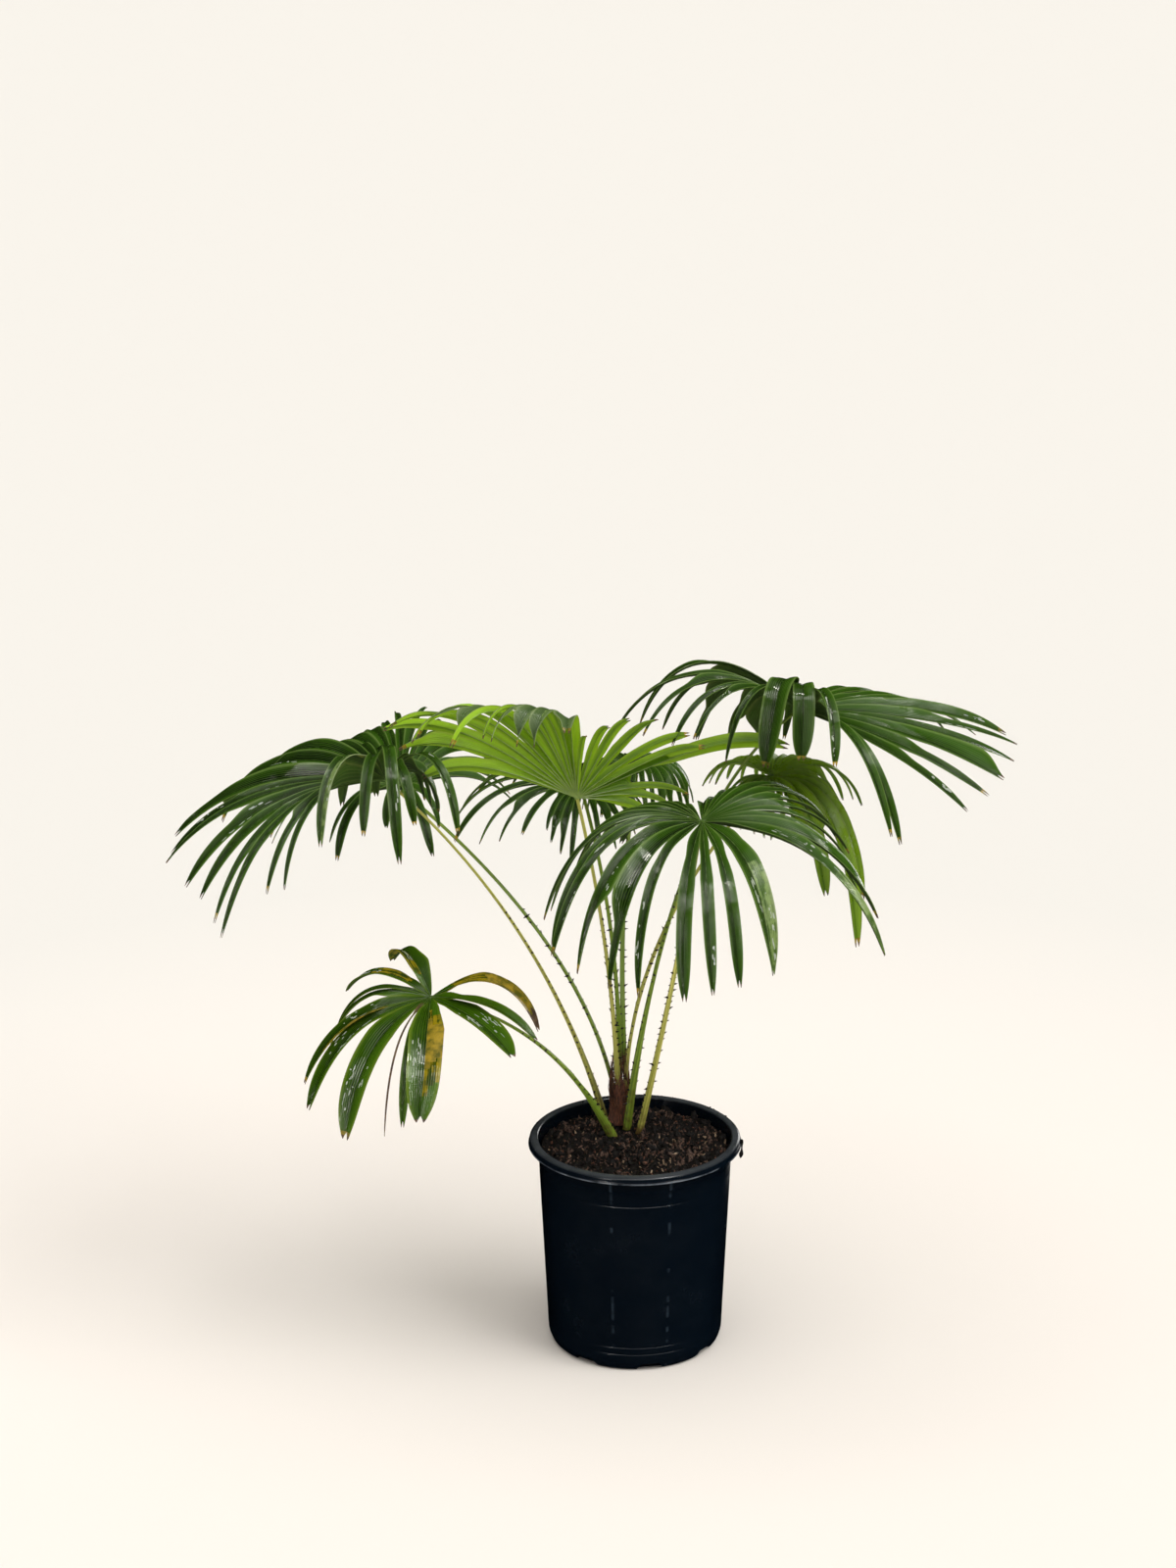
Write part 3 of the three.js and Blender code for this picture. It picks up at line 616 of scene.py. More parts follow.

# %% [markdown]
# ## The leaves' own rule
# Each leaf is a petiole and a fan of segments. The list gives chosen segments of a fan as (number, turn from
# the heading, length, droop, lift out of the blade's plane), and the segments between two of them run evenly
# from the one to the other. The solids follow the same rule. Here each segment is cut much finer.
#
# Some leaves say more: splits and spacing give the share that is joined and the degrees between segments at
# chosen numbers, halves the half widths of single segments, widest that of the others, roll a turn about the
# midrib, patches the stained places and, on front_right, a painted sheen, and wet the segments that carry
# films of water.

# %% The nine leaves, in millimetres and degrees
TOP, PALE, YELLOW, BROWN = range(4)
LEAVES = [
    dict(name="low_left", foot=(-28, 16), bow=(-92, -6, 400), hastula=(-236, -10, 433), width=(13, 5),
         heading=220, pitch=0, bend=2, split=0.4, look="old",
         splits=[(0, 0.12), (1, 0.12), (2, 0.22), (4, 0.25), (5, 0.2), (6, 0.08), (12, 0.12)],
         spacing=[(0, 99)], widest=28, twist=10,
         halves={0: 15, 1: 14, 2: 8, 3: 8, 4: 15, 5: 17, 6: 23, 7: 1.3, 8: 8, 9: 25, 10: 22, 11: 12, 12: 15},
         patches=[(0, 0, (1,), 0.3, 0.9, PALE), (1, 1, (-1,), 0.3, 0.6, PALE), (4, 4, (1,), 0.25, 0.8, PALE),
                  (4, 4, (1,), 0.35, 0.62, YELLOW), (7, 7, (-1, 1), 0.1, 1, BROWN),
                  (9, 9, (1,), 0.2, 0.78, PALE), (9, 9, (1,), 0.3, 0.62, YELLOW),
                  (12, 12, (-1, 1), 0.2, 0.9, PALE),
                  (12, 12, (-1, 1), 0.45, 0.87, YELLOW), (12, 12, (-1, 1), 0.87, 1, BROWN)],
         wet=[(0, 1, 3), (4, 6, 9), (9, 9, 2), (10, 10, 7)],
         fan=[(0, -95, 110, 1.8, 48), (1, -60, 122, 1.8, 28), (2, -46, 140, 3, 18), (3, -38, 160, 3.4, 14),
              (4, -26, 190, 2.4, -2), (5, -14, 205, 2.8, -6), (6, 8, 212, 3.2, -8), (7, 29, 198, 4.2, -3),
              (8, 37, 185, 3.7, -3), (9, 48, 178, 3.4, -5), (10, 96, 148, 0.7, -2), (11, 108, 150, 1.2, 10),
              (12, 130, 160, 3, 30)]),
    dict(name="left_front", foot=(-37, 72), bow=(-105, 50, 507), hastula=(-284, 10, 690), width=(11, 5),
         heading=195, pitch=0, bend=2, split=0.42, look="dark",
         splits=[(0, 0.35), (6, 0.5), (8, 0.5), (9, 0.35), (11, 0.5), (13, 0.3), (14, 0.22), (19, 0.3)],
         spacing=[(0, 16), (5, 16), (6, 8), (13, 8), (14, 99)],
         halves={14: 8, 15: 8.5, 16: 9, 17: 8.5, 18: 8},
         patches=[(14, 14, (1,), 0.2, 0.95, PALE)], wet=[(5, 18, 9)],
         roll=[(4, 0), (6, -42), (12, -42), (13, -20), (14, 0)],
         fan=[(0, -170, 100, 5, 20), (3, -105, 105, 6, 45), (5, -42, 235, 3.4, 26), (6, -22, 275, 1.3, 2),
              (7, -12, 285, 1.3, -1), (8, -3, 272, 1.6, -2), (9, 6, 268, 2.2, 0), (11, 18, 290, 3.3, 3),
              (12, 26, 225, 3.2, 10), (13, 32, 215, 3.6, 14), (14, 40, 200, 4.2, 46), (15, 62, 160, 6, 56),
              (16, 84, 226, 7, 58), (17, 105, 118, 6.5, 52), (18, 128, 180, 5, 48), (19, 160, 95, 5, 35)]),
    dict(name="left_back", foot=(-26, 63), bow=(-68, 100, 468), hastula=(-280, 157, 634), width=(8, 5),
         heading=165, pitch=0, bend=2, split=0.4, look="dark",
         splits=[(0, 0.4), (8, 0.4), (9, 0.12), (15, 0.12)], spacing=[(0, 12), (7, 12), (8, 34)], widest=7,
         fan=[(0, -165, 145, 1.5, 18), (2, -130, 150, 1.6, 32), (4, -85, 135, 0.9, 50), (7, -30, 190, 2, 30),
              (10, 20, 190, 2.5, 15), (11, 43, 120, 3.5, 10), (12, 66, 150, 3, 14), (13, 90, 75, 3, 10),
              (14, 128, 125, 4, 12), (15, 165, 80, 4, 10)]),
    dict(name="centre_young", foot=(-20, 54.5), bow=(-27, 45, 480), hastula=(-66, 20, 665), width=(7.5, 5),
         heading=275, pitch=70, bend=3, split=0.55, look="young",
         splits=[(0, 0.45), (4, 0.58), (7, 0.6), (8, 0.2), (11, 0.3), (16, 0.4)],
         spacing=[(0, 6.5), (7, 6.5), (8, 13), (16, 11)], halves={8: 4.5, 9: 4.5},
         fan=[(0, -64, 190, 0.9, 5), (1, -55, 255, 0.9, 5), (2, -36, 262, 2, 5), (3, -29, 220, 2.2, 5),
              (7, -10, 190, 2.4, 5), (8, 2, 105, 1, 0), (11, 45, 158, 0.5, 0), (12, 56, 160, 0.6, 0),
              (13, 67, 252, 0.8, 5), (14, 80, 130, 0.9, 5), (16, 100, 90, 1, 5)]),
    dict(name="centre_back", foot=(-19, 70), bow=(-15, 85, 480), hastula=(-63, 100, 653), width=(8, 5),
         heading=100, pitch=0, bend=2, split=0.4, look="dark",
         fan=[(0, -172, 110, 3, 0), (3, -125, 95, 3, 10), (6, -60, 95, 2, 20), (9, 0, 100, 1.8, 25),
              (12, 70, 160, 1.8, 20), (14, 95, 178, 2.3, 12), (16, 135, 90, 2, 8), (18, 165, 110, 5, -5)]),
    dict(name="right_inner", foot=(-10.5, 66), bow=(-24, 144, 480), hastula=(2, 235, 630), width=(7.5, 5),
         heading=70, pitch=0, bend=2, split=0.4, look="dark",
         fan=[(0, -165, 110, 5, 35), (7, 0, 100, 5, 35), (14, 165, 110, 5, 35)]),
    dict(name="right_back", foot=(-11.5, 57), bow=(-5, 90, 480), hastula=(161, 130, 658), width=(8, 5),
         heading=10, pitch=0, bend=2, split=0.4, look="fresh",
         fan=[(0, -165, 90, 3, 10), (4, -78, 105, 5, 0), (6, -54, 258, 8, 0), (8, -20, 115, 6, 18),
              (10, 0, 138, 3, 20), (14, 90, 120, 3, 20), (17, 160, 95, 2, 25)]),
    dict(name="upper_right", foot=(-9, 43), bow=(38, 55, 650), hastula=(189, 60, 759), width=(11, 5),
         heading=0, pitch=0, bend=2, split=0.42, look="dark",
         splits=[(0, 0.35), (2, 0.35), (3, 0.2), (7, 0.15), (8, 0.5), (12, 0.55), (13, 0.4), (21, 0.42)],
         spacing=[(0, 12), (2, 12), (2.1, 99), (6.9, 99), (7, 12)], widest=19,
         halves={3: 20, 4: 16, 5: 8.5, 6: 8.5, 7: 8.5}, wet=[(5, 15, 6)],
         roll=[(7, 0), (8, 34), (13, 34), (15, 0)],
         fan=[(0, -175, 243, 2.2, 30), (2, -148, 175, 2.5, 35), (3, -118, 172, 7.5, 62), (4, -88, 140, 8, 66),
              (5, -62, 160, 5, 48), (6, -52, 214, 4.8, 5), (7, -45, 221, 5, 0), (8, -34, 240, 0.5, -12),
              (10, -20, 252, 0.5, -5), (12, -3, 256, 0.5, -1), (13, 10, 250, 0.6, 2), (15, 50, 205, 2, 10),
              (18, 125, 118, 4, 8), (21, 170, 240, 2.6, 37)]),
    dict(name="front_right", foot=(6, 30), bow=(50, 0, 463), hastula=(75, -60, 662), width=(10, 5),
         heading=-80, pitch=0, bend=2, split=0.42, look="dark",
         splits=[(0, 0.42), (6, 0.42), (7, 0.14), (11, 0.14), (12, 0.42), (18, 0.45)],
         spacing=[(6.9, 12), (7, 99), (11.9, 99), (12, 11)], widest=19,
         halves={7: 10, 8: 11, 9: 9, 10: 9, 11: 21},
         # On front_right the pale patches are partly pale streaks and partly a painted sheen.
         patches=[(11, 11, (1,), 0.42, 0.97, PALE), (12, 12, (1,), 0.6, 0.97, PALE)],
         wet=[(3, 10, 7), (11, 12, 9), (13, 18, 6)],
         fan=[(0, -158, 75, 2, 20), (3, -105, 231, 3.5, 10), (6, -73, 262, 4.4, 10), (8, -22, 224, 5.5, -18),
              (11, 26, 215, 5.5, -5), (12, 53, 275, 2, 0), (14, 75, 212, 2.2, 10), (16, 125, 185, 1.6, 22),
              (18, 168, 105, 2, 15)]),
]
CROWN_AT = (-18, 62)
CROWN_TOP = 293
CROWN_TOP_RADIUS = 13
print(len(LEAVES), "leaves,", sum(leaf["fan"][-1][0] + 1 for leaf in LEAVES), "segments")

# %% [markdown]
# A midrib leaves the hub in its own direction and gives way to its weight more and more. It is traced in
# short straight steps, each turned down a little further than the last, which is how the solids are made too.
# Each step also keeps a sideways and an upward direction, on which the blade is built.

# %% Trace the midribs
TRACE_STEPS = 56


def unit(v):
    return v / np.linalg.norm(v)


def segment_of(leaf, number):
    """Turn, length, droop and lift of one segment, mixed between the two listed ones that it lies between."""
    fan = leaf["fan"]
    after = max(1, next(k for k, station in enumerate(fan) if station[0] >= number))
    start, end = np.array(fan[after - 1], float), np.array(fan[after], float)
    _, turn, length, droop, lift = start + (end - start) * (number - start[0]) / (end[0] - start[0])
    return math.radians(turn), length * MM, droop, math.radians(lift)


def blade_frame(leaf):
    heading, pitch = math.radians(leaf["heading"]), math.radians(leaf["pitch"])
    level = np.array([math.cos(heading), math.sin(heading), 0])
    axis = level * math.cos(pitch) + UP * math.sin(pitch)
    across = unit(np.cross(UP, axis))
    return axis, across, unit(np.cross(axis, across))


def trace_rib(leaf, number, sway=0.0, droop_share=1.0):
    """Places, sideways and upward directions along one segment's midrib, from the hub to its tip."""
    axis, across, normal = blade_frame(leaf)
    turn, length, droop, lift = segment_of(leaf, number)
    turn, droop = turn + sway, droop * droop_share
    start = (axis * math.cos(turn) + across * math.sin(turn)) * math.cos(lift) + normal * math.sin(lift)
    side = across * math.cos(turn) - axis * math.sin(turn)
    place = np.array(leaf["hastula"], float) * MM
    places, sides, ups = [], [], []
    for k in range(TRACE_STEPS + 1):
        along = unit(start - UP * droop * (k / TRACE_STEPS) ** leaf["bend"])
        side = unit(side - along * side.dot(along))
        places.append(place)
        sides.append(side)
        ups.append(np.cross(along, side))
        place = place + along * length / TRACE_STEPS
    return np.array(places), np.array(sides), np.array(ups), length


def at_number(stations, number):
    """A value that is listed for chosen segment numbers, read between them."""
    return np.interp(number, [n for n, _ in stations], [value for _, value in stations])


print("longest segment", max(station[2] for leaf in LEAVES for station in leaf["fan"]), "mm")

# %% [markdown]
# ## The blades
# A fan blade is pleated: each segment is a shallow V with its midrib at the bottom. Out to the split,
# neighbours share the crest between them, and past it each runs free, widens a little, tapers, and ends in
# two short points. The pleats are written as grids, one for each half of a segment, merged along the
# midribs and crests, and given a thickness by Solidify, which also gives the underside its own colours.

# %% Rows along the segments
BLADE_THICKNESS = 0.8 * MM
HUB_REACH = 2.2 * MM
WIDEST_HALF = 12.5 * MM
PLEAT_AT_HUB, PLEAT_DEPTH, PLEAT_REACH = 1.15, 0.45, 0.6
TIP_ONSET, TIP_SHARE = 5.0, 0.2
NARROWING = 0.2
ROWS = 44
COLUMNS = 3
SPLIT_SPREAD = 0.05
VARIED_ABOVE, JOINED_CHANCE, JOINED_MORE, DEEP_CHANCE, DEEP_SHARE = 0.3, 0.4, (0.14, 0.32), 0.14, 0.5
ROW_CROWDING = 0.92
FLATTER_HALVES = 0.7
FORK_GAP = 0.42
TIP_STAIN = 0.02
RAGGED = 0.06
MERGE = 2e-6
PARTING = 0.16
FORK_AT = 0.96
CUP = 0.06
SPACING_DEG = 12
SWAY_DEG, DROOP_SPREAD, SIDE_BEND, TWIST_DEG = 2.2, 0.09, 0.06, 38


def row_shares(length):
    start = HUB_REACH / length
    return start + (1 - start) * np.linspace(0, 1, ROWS + 1) ** ROW_CROWDING


def at_share(values, share):
    steps = np.linspace(0, 1, TRACE_STEPS + 1)
    return np.stack([np.interp(share, steps, values[:, k]) for k in range(3)], axis=1)


def lengths(vectors):
    return np.linalg.norm(vectors, axis=1)


def numbers_of(leaf):
    """Numbers of the segments, close enough together that two neighbours never stand too far apart."""
    fan, numbers = leaf["fan"], [0.0]
    while numbers[-1] < fan[-1][0] - 0.01:
        here = numbers[-1]
        after = next(k for k, station in enumerate(fan) if station[0] > here + 1e-6)
        per_number = abs(fan[after][1] - fan[after - 1][1]) / (fan[after][0] - fan[after - 1][0])
        wanted = at_number(leaf.get("spacing", [(0, SPACING_DEG)]), here)
        steps = max(1, math.ceil((fan[after][0] - here) * per_number / wanted - 0.2))
        numbers.append(min(here + (fan[after][0] - here) / steps, here + 1, fan[-1][0]))
    return numbers


def fan_rows(leaf, dice):
    """For each segment, its midrib's rows: shares of the length, places, sideways and upward directions.

    In its outer part a living segment sways sideways and twists a little, each by its own amount."""
    rows = []
    for number in numbers_of(leaf):
        sway = math.radians(SWAY_DEG) * dice.uniform(-1, 1)
        places, sides, ups, length = trace_rib(leaf, number, sway, 1 + DROOP_SPREAD * dice.uniform(-1, 1))
        share = row_shares(length)
        place, side, up = at_share(places, share), at_share(sides, share), at_share(ups, share)
        loose = np.clip((share - leaf["split"] / 2) / (1 - leaf["split"] / 2), 0, 1)[:, None] ** 2
        place = place + side * loose * length * SIDE_BEND * dice.uniform(-1, 1)
        twist = loose * math.radians(leaf.get("twist", TWIST_DEG)) * dice.uniform(-1, 1)
        roll = math.radians(at_number(leaf.get("roll", [(0, 0)]), number))
        twist = twist + roll * np.minimum(1, share / leaf["split"])[:, None] ** 1.5
        side, up = side * np.cos(twist) + up * np.sin(twist), up * np.cos(twist) - side * np.sin(twist)
        rows.append((share, place, side, up))
    return rows


def split_at(leaf, number, dice):
    """Where the gap after a segment opens, as a share of the length. Some neighbours stay joined longer."""
    share = float(at_number(leaf.get("splits", [(0, leaf["split"])]), number))
    chance = dice.random()
    if share > VARIED_ABOVE and chance < JOINED_CHANCE:
        return share + dice.uniform(*JOINED_MORE)
    if share > VARIED_ABOVE and chance > 1 - DEEP_CHANCE:
        return share * DEEP_SHARE
    return share + SPLIT_SPREAD * dice.uniform(-1, 1)


print("rows on each segment:", ROWS)

# %% [markdown]
# Each half of a segment runs from its midrib to a margin. On the joined part the margin is the crest between
# two neighbours, and past the split it moves over to the segment's own edge, which narrows late to the tip.
# The last stretch forks, so there the two halves part at the midrib as well.

# %% Margins of the segments
def margin_of(leaf, rows, numbers, i, sign, split):
    """Midrib and margin of one half of segment i, as rows of places."""
    share, place, side, up = rows[i]
    has_neighbour = 0 <= i + sign < len(rows)
    other = rows[i + sign] if has_neighbour else rows[i - sign]
    distance = lengths(place - other[1])
    both_up = up + other[3]
    both_up /= lengths(both_up)[:, None]
    pleat = PLEAT_AT_HUB + (PLEAT_DEPTH - PLEAT_AT_HUB) * np.minimum(1, share / PLEAT_REACH)
    if numbers[i] in leaf.get("halves", {}):
        pleat = np.minimum(pleat, PLEAT_DEPTH) * FLATTER_HALVES
    crest = (place + other[1]) / 2 + both_up * (pleat * distance / 2)[:, None]
    near = [lengths(place - rows[n][1]) for n in (i - 1, i + 1) if 0 <= n < len(rows)]
    own = np.minimum.reduce(near) / 2
    if numbers[i] in leaf.get("halves", {}):
        widest = leaf["halves"][numbers[i]] * MM
        own = widest * np.minimum(1, share / leaf["split"]) ** 0.8
    widest = min(np.interp(leaf["split"], share, own), leaf.get("widest", WIDEST_HALF / MM) * MM)
    parted = np.clip((share - split) / PARTING, 0, 1)
    parted = parted * parted * (3 - 2 * parted)
    v = np.clip((share - leaf["split"]) / (1 - leaf["split"]), 0, 1)
    half = np.where(share < leaf["split"], np.minimum(own, widest), widest)
    half = half * (1 - NARROWING * parted) * (1 - (1 - TIP_SHARE) * v**TIP_ONSET)
    fork = np.clip((share - FORK_AT) / (1 - FORK_AT), 0, 1)
    at_fork = np.interp(FORK_AT, share, half)
    half = np.where(fork > 0, at_fork * (1 - 0.5 * fork**1.3), half)
    inner = FORK_GAP * at_fork * fork**0.7
    free = place + side * (sign * half)[:, None] + up * (half * pleat)[:, None]
    rib = place + side * (sign * inner)[:, None] + up * (inner * pleat)[:, None]
    if has_neighbour:
        opening = np.where(share <= split, 0, parted)[:, None]
        free = crest * (1 - opening) + free * opening
    return rib, free


print("forks start at", FORK_AT, "of the length")

# %% [markdown]
# The halves become grids of four-sided faces. Each face is given its colour by place, with a ragged border,
# and each corner its place on the segment's map. At the end the grids are merged where they meet.

# %% Grow the blades' meshes
def tint_at(leaf, number, sign, share, ragged, tint):
    """The tint of a face: that of the last listed patch that it lies in, and else the given one."""
    for low_number, high_number, halves, low, high, patch in leaf.get("patches", []):
        here = low_number <= number <= high_number and sign in halves
        if here and low + ragged[0] <= share < high + ragged[1]:
            tint = patch
    return tint


def half_points(rib, free, up):
    """Places of the grid from midrib to margin, cupped a little between them."""
    width = lengths(free - rib)
    points = []
    for j in range(ROWS + 1):
        for c in range(COLUMNS + 1):
            t = c / COLUMNS
            cup = up[j] * (CUP * width[j] * math.sin(math.pi * t))
            points.append(rib[j] + (free[j] - rib[j]) * t + cup)
    return points


def face_corners(first, j, c, sign):
    """Numbers of a face's corners and their rows and columns, in the order that suits its side."""
    a = first + j * (COLUMNS + 1) + c
    corners = [a, a + 1, a + COLUMNS + 2, a + COLUMNS + 1]
    places = [(j, c), (j, c + 1), (j + 1, c + 1), (j + 1, c)]
    return (corners[::-1], places[::-1]) if sign < 0 else (corners, places)


def merged(name, points, faces, uvs, looks):
    """The blade's object, with its map and its tints, and with the grids joined where they meet."""
    made = new_object(name, points, faces)
    layer = made.data.uv_layers.new(name="leaf")
    layer.data.foreach_set("uv", np.array(uvs, np.float32).ravel())
    made.data.polygons.foreach_set("material_index", np.array(looks, np.int32))
    work = bmesh.new()
    work.from_mesh(made.data)
    bmesh.ops.remove_doubles(work, verts=work.verts, dist=MERGE)
    bmesh.ops.dissolve_degenerate(work, edges=work.edges, dist=MERGE)
    work.to_mesh(made.data)
    work.free()
    return made


def blade_mesh(leaf):
    dice = random.Random(leaf["name"])
    numbers, rows = numbers_of(leaf), fan_rows(leaf, dice)
    splits = [split_at(leaf, number, dice) for number in numbers[:-1]]
    points, faces, uvs, looks, sheets = [], [], [], [], []
    for i, (share, _, _, up) in enumerate(rows):
        brown_from = 1 - dice.uniform(0.0, TIP_STAIN)
        yellow_from = brown_from - dice.uniform(0.0, TIP_STAIN)
        for sign in (-1, 1):
            gap = i if sign > 0 else i - 1
            split = splits[gap] if 0 <= gap < len(splits) else leaf["split"]
            rib, free = margin_of(leaf, rows, numbers, i, sign, split)
            sheets.append((numbers[i], rib, free, up))
            ragged = [(dice.uniform(-RAGGED, RAGGED), dice.uniform(-RAGGED, RAGGED)) for _ in range(COLUMNS)]
            first = len(points)
            points += half_points(rib, free, up)
            for j in range(ROWS):
                tip = BROWN if share[j + 1] > brown_from else YELLOW if share[j + 1] > yellow_from else TOP
                for c in range(COLUMNS):
                    corners, places = face_corners(first, j, c, sign)
                    faces.append(corners)
                    uvs += [(i + 0.5 + sign * 0.5 * cc / COLUMNS, share[jj]) for jj, cc in places]
                    looks.append(tint_at(leaf, numbers[i], sign, share[j], ragged[c], tip))
    return merged("fan_" + leaf["name"], points, faces, uvs, looks), rows, sheets


def facing_up(made, leaf):
    """True where the blade's faces look out of its upper side."""
    normal = blade_frame(leaf)[2]
    total = sum((p.normal * p.area for p in made.data.polygons), Vector())
    return total.dot(Vector(normal)) > 0


print("grid of a half segment:", ROWS, "x", COLUMNS, "faces")

# %% [markdown]
# Leaf surfaces: dark glossy green above, with fine pale veins along each segment, painted shade in the
# pleats' valleys and painted light on their crests and on one side of each pleat, and a lighter, duller green
# below, painted as the light that comes through the blade. The vein pattern reads the segment's own map: its
# first coordinate runs across the segment and its second from hub to tip. Wet patches are a noise that lowers
# the roughness. Yellowed and brown parts are plain colours of their own, dealt out by place when a blade is
# grown.

# %% Finishes of the leaves
VEINS_PER_SEGMENT = 14
LEAF_SHEEN = (1.0, 1.0, 0.92, 1)


def leaf_finish(name, deep, bright, vein, rough_low, rough_high, wet=0.0, mottled=False):
    """One side of a blade: painted shade in the valleys, painted light on the crests and on one side of each
    pleat, veins, pale crest lines that are a painted highlight, and smoother where wet.
    """
    material, tree, shader = new_surface(name, Specular_IOR_Level=0.4 + wet, Specular_Tint=LEAF_SHEEN)
    coords = object_coords(tree)
    place = node(tree, "ShaderNodeUVMap", uv_map="leaf").outputs[0]
    across = separate(tree, place)[0]
    within = math_node(tree, "FRACT", across)
    off_rib = math_node(tree, "ABSOLUTE", math_node(tree, "SUBTRACT", within, 0.5))
    ripple = math_node(tree, "SINE", times(tree, across, 2 * math.pi * VEINS_PER_SEGMENT))
    ripple = between(tree, ripple, -1, 1, 0, 1)
    streak = noise(tree, stretched(tree, place, (9.0, 2.2, 1.0)), 1.0, 3.0)
    cloud = noise(tree, coords, 70.0 if mottled else 14.0, 3.0)
    variety = times(tree, math_node(tree, "ADD", streak, cloud), 0.5)
    if mottled:
        share = between(tree, variety, 0.47, 0.55, 0, 1)
    else:
        # Painted shade towards the valley at the midrib, painted light towards the crest.
        painted_pleat_light = between(tree, off_rib, 0.0, 0.42, 0.0, 0.6)
        # One side of each pleat painted lighter and the other darker: painted light and shade.
        painted_pleat_light = math_node(tree, "ADD", painted_pleat_light, between(tree, within, 0.47, 0.53, -0.2, 0.3))
        share = math_node(tree, "ADD", between(tree, variety, 0.38, 0.62, 0, 0.5), painted_pleat_light)
    body = mix_colour(tree, share, deep, bright)
    line = times(tree, math_node(tree, "POWER", ripple, 5.0), 0.35)
    # Pale lines: the veins, and a painted highlight along each crest.
    pale = math_node(tree, "MAXIMUM", line, between(tree, off_rib, 0.37, 0.47, 0.0, 0.8))
    put(tree, shader.inputs["Base Color"], mix_colour(tree, pale, body, vein))
    drops = noise(tree, coords, 60.0, 3.0, 0.6)
    put(tree, shader.inputs["Roughness"], between(tree, drops, 0.46, 0.6, rough_high, rough_low))
    bump(tree, shader, math_node(tree, "ADD", ripple, times(tree, drops, 1.5 + 6 * wet)), 0.0003, 0.7)
    return material


def plain_finish(name, colour, shade, roughness):
    material, tree, shader = new_surface(name, roughness=roughness, IOR=1.45)
    blotch = noise(tree, object_coords(tree), 90.0, 4.0, 0.6)
    tint = mix_colour(tree, between(tree, blotch, 0.4, 0.62, 0, 1), shade, colour)
    put(tree, shader.inputs["Base Color"], tint)
    bump(tree, shader, blotch, 0.0004, 0.5)
    return material


dried_yellow = plain_finish("leaf_yellowed", (0.45, 0.31, 0.025), (0.12, 0.12, 0.010), 0.3)
dried_brown = plain_finish("leaf_dried", (0.20, 0.12, 0.05), (0.07, 0.035, 0.018), 0.65)
# for each look the upper side, its pale patches, the under side and its pale patches, each with its name,
# deep, bright and vein colours, roughness where wet and where dry, wetness, and whether it is mottled
# The under sides' lighter colours are painted light that comes through the blade, strongest on the young
# leaf.
LEAF_SURFACES = {
    "dark": [
        ("dark", (0.002, 0.010, 0.001), (0.030, 0.093, 0.003), (0.14, 0.23, 0.05), 0.05, 0.22, 0.14),
        ("dark_pale", (0.04, 0.10, 0.008), (0.21, 0.31, 0.09), (0.34, 0.42, 0.20), 0.06, 0.26, 0.15, True),
        ("dark_below", (0.009, 0.034, 0.001), (0.046, 0.115, 0.004), (0.13, 0.19, 0.03), 0.42, 0.6),
        ("pale_below", (0.05, 0.10, 0.004), (0.22, 0.27, 0.03), (0.28, 0.33, 0.10), 0.42, 0.6, 0, True),
    ],
    "fresh": [
        ("fresh", (0.050, 0.13, 0.001), (0.20, 0.36, 0.005), (0.16, 0.24, 0.03), 0.2, 0.42),
        ("fresh_pale", (0.07, 0.14, 0.02), (0.14, 0.22, 0.05), (0.30, 0.36, 0.18), 0.28, 0.45),
        ("fresh_below", (0.070, 0.18, 0.001), (0.25, 0.43, 0.005), (0.18, 0.28, 0.03), 0.42, 0.6),
        ("fresh_pale_below", (0.09, 0.17, 0.02), (0.15, 0.24, 0.05), (0.30, 0.36, 0.16), 0.42, 0.6),
    ],
    "young": [
        ("young", (0.035, 0.080, 0.016), (0.105, 0.180, 0.044), (0.23, 0.30, 0.13), 0.22, 0.42),
        ("young_pale", (0.10, 0.17, 0.03), (0.18, 0.26, 0.06), (0.34, 0.42, 0.18), 0.3, 0.5),
        ("young_below", (0.070, 0.180, 0.001), (0.36, 0.66, 0.002), (0.36, 0.54, 0.03), 0.45, 0.6),
        ("young_pale_below", (0.12, 0.22, 0.02), (0.22, 0.33, 0.05), (0.36, 0.46, 0.16), 0.45, 0.6),
    ],
    "old": [
        ("old", (0.006, 0.030, 0.001), (0.052, 0.145, 0.003), (0.15, 0.23, 0.02), 0.04, 0.22, 0.3),
        ("old_pale", (0.020, 0.055, 0.002), (0.36, 0.27, 0.008), (0.30, 0.27, 0.03), 0.04, 0.24, 0.3, True),
        ("old_below", (0.022, 0.066, 0.002), (0.075, 0.15, 0.006), (0.15, 0.22, 0.04), 0.4, 0.55),
        ("old_pale_below", (0.05, 0.09, 0.003), (0.30, 0.25, 0.012), (0.28, 0.27, 0.04), 0.4, 0.55, 0, True),
    ],
}
LOOKS = {
    look: [leaf_finish("leaf_" + name, *values) for name, *values in rows]
    for look, rows in LEAF_SURFACES.items()
}
print(len(LOOKS), "leaf looks")

# %% [markdown]
# A leaf blade is less than a millimetre thick. Solidify makes a closed body of the one-sided mesh, and its
# material offset moves the new lower faces on to the second half of the slots, so each upper colour has its
# own lower one. The yellowed and the dried colour are the same on both sides.

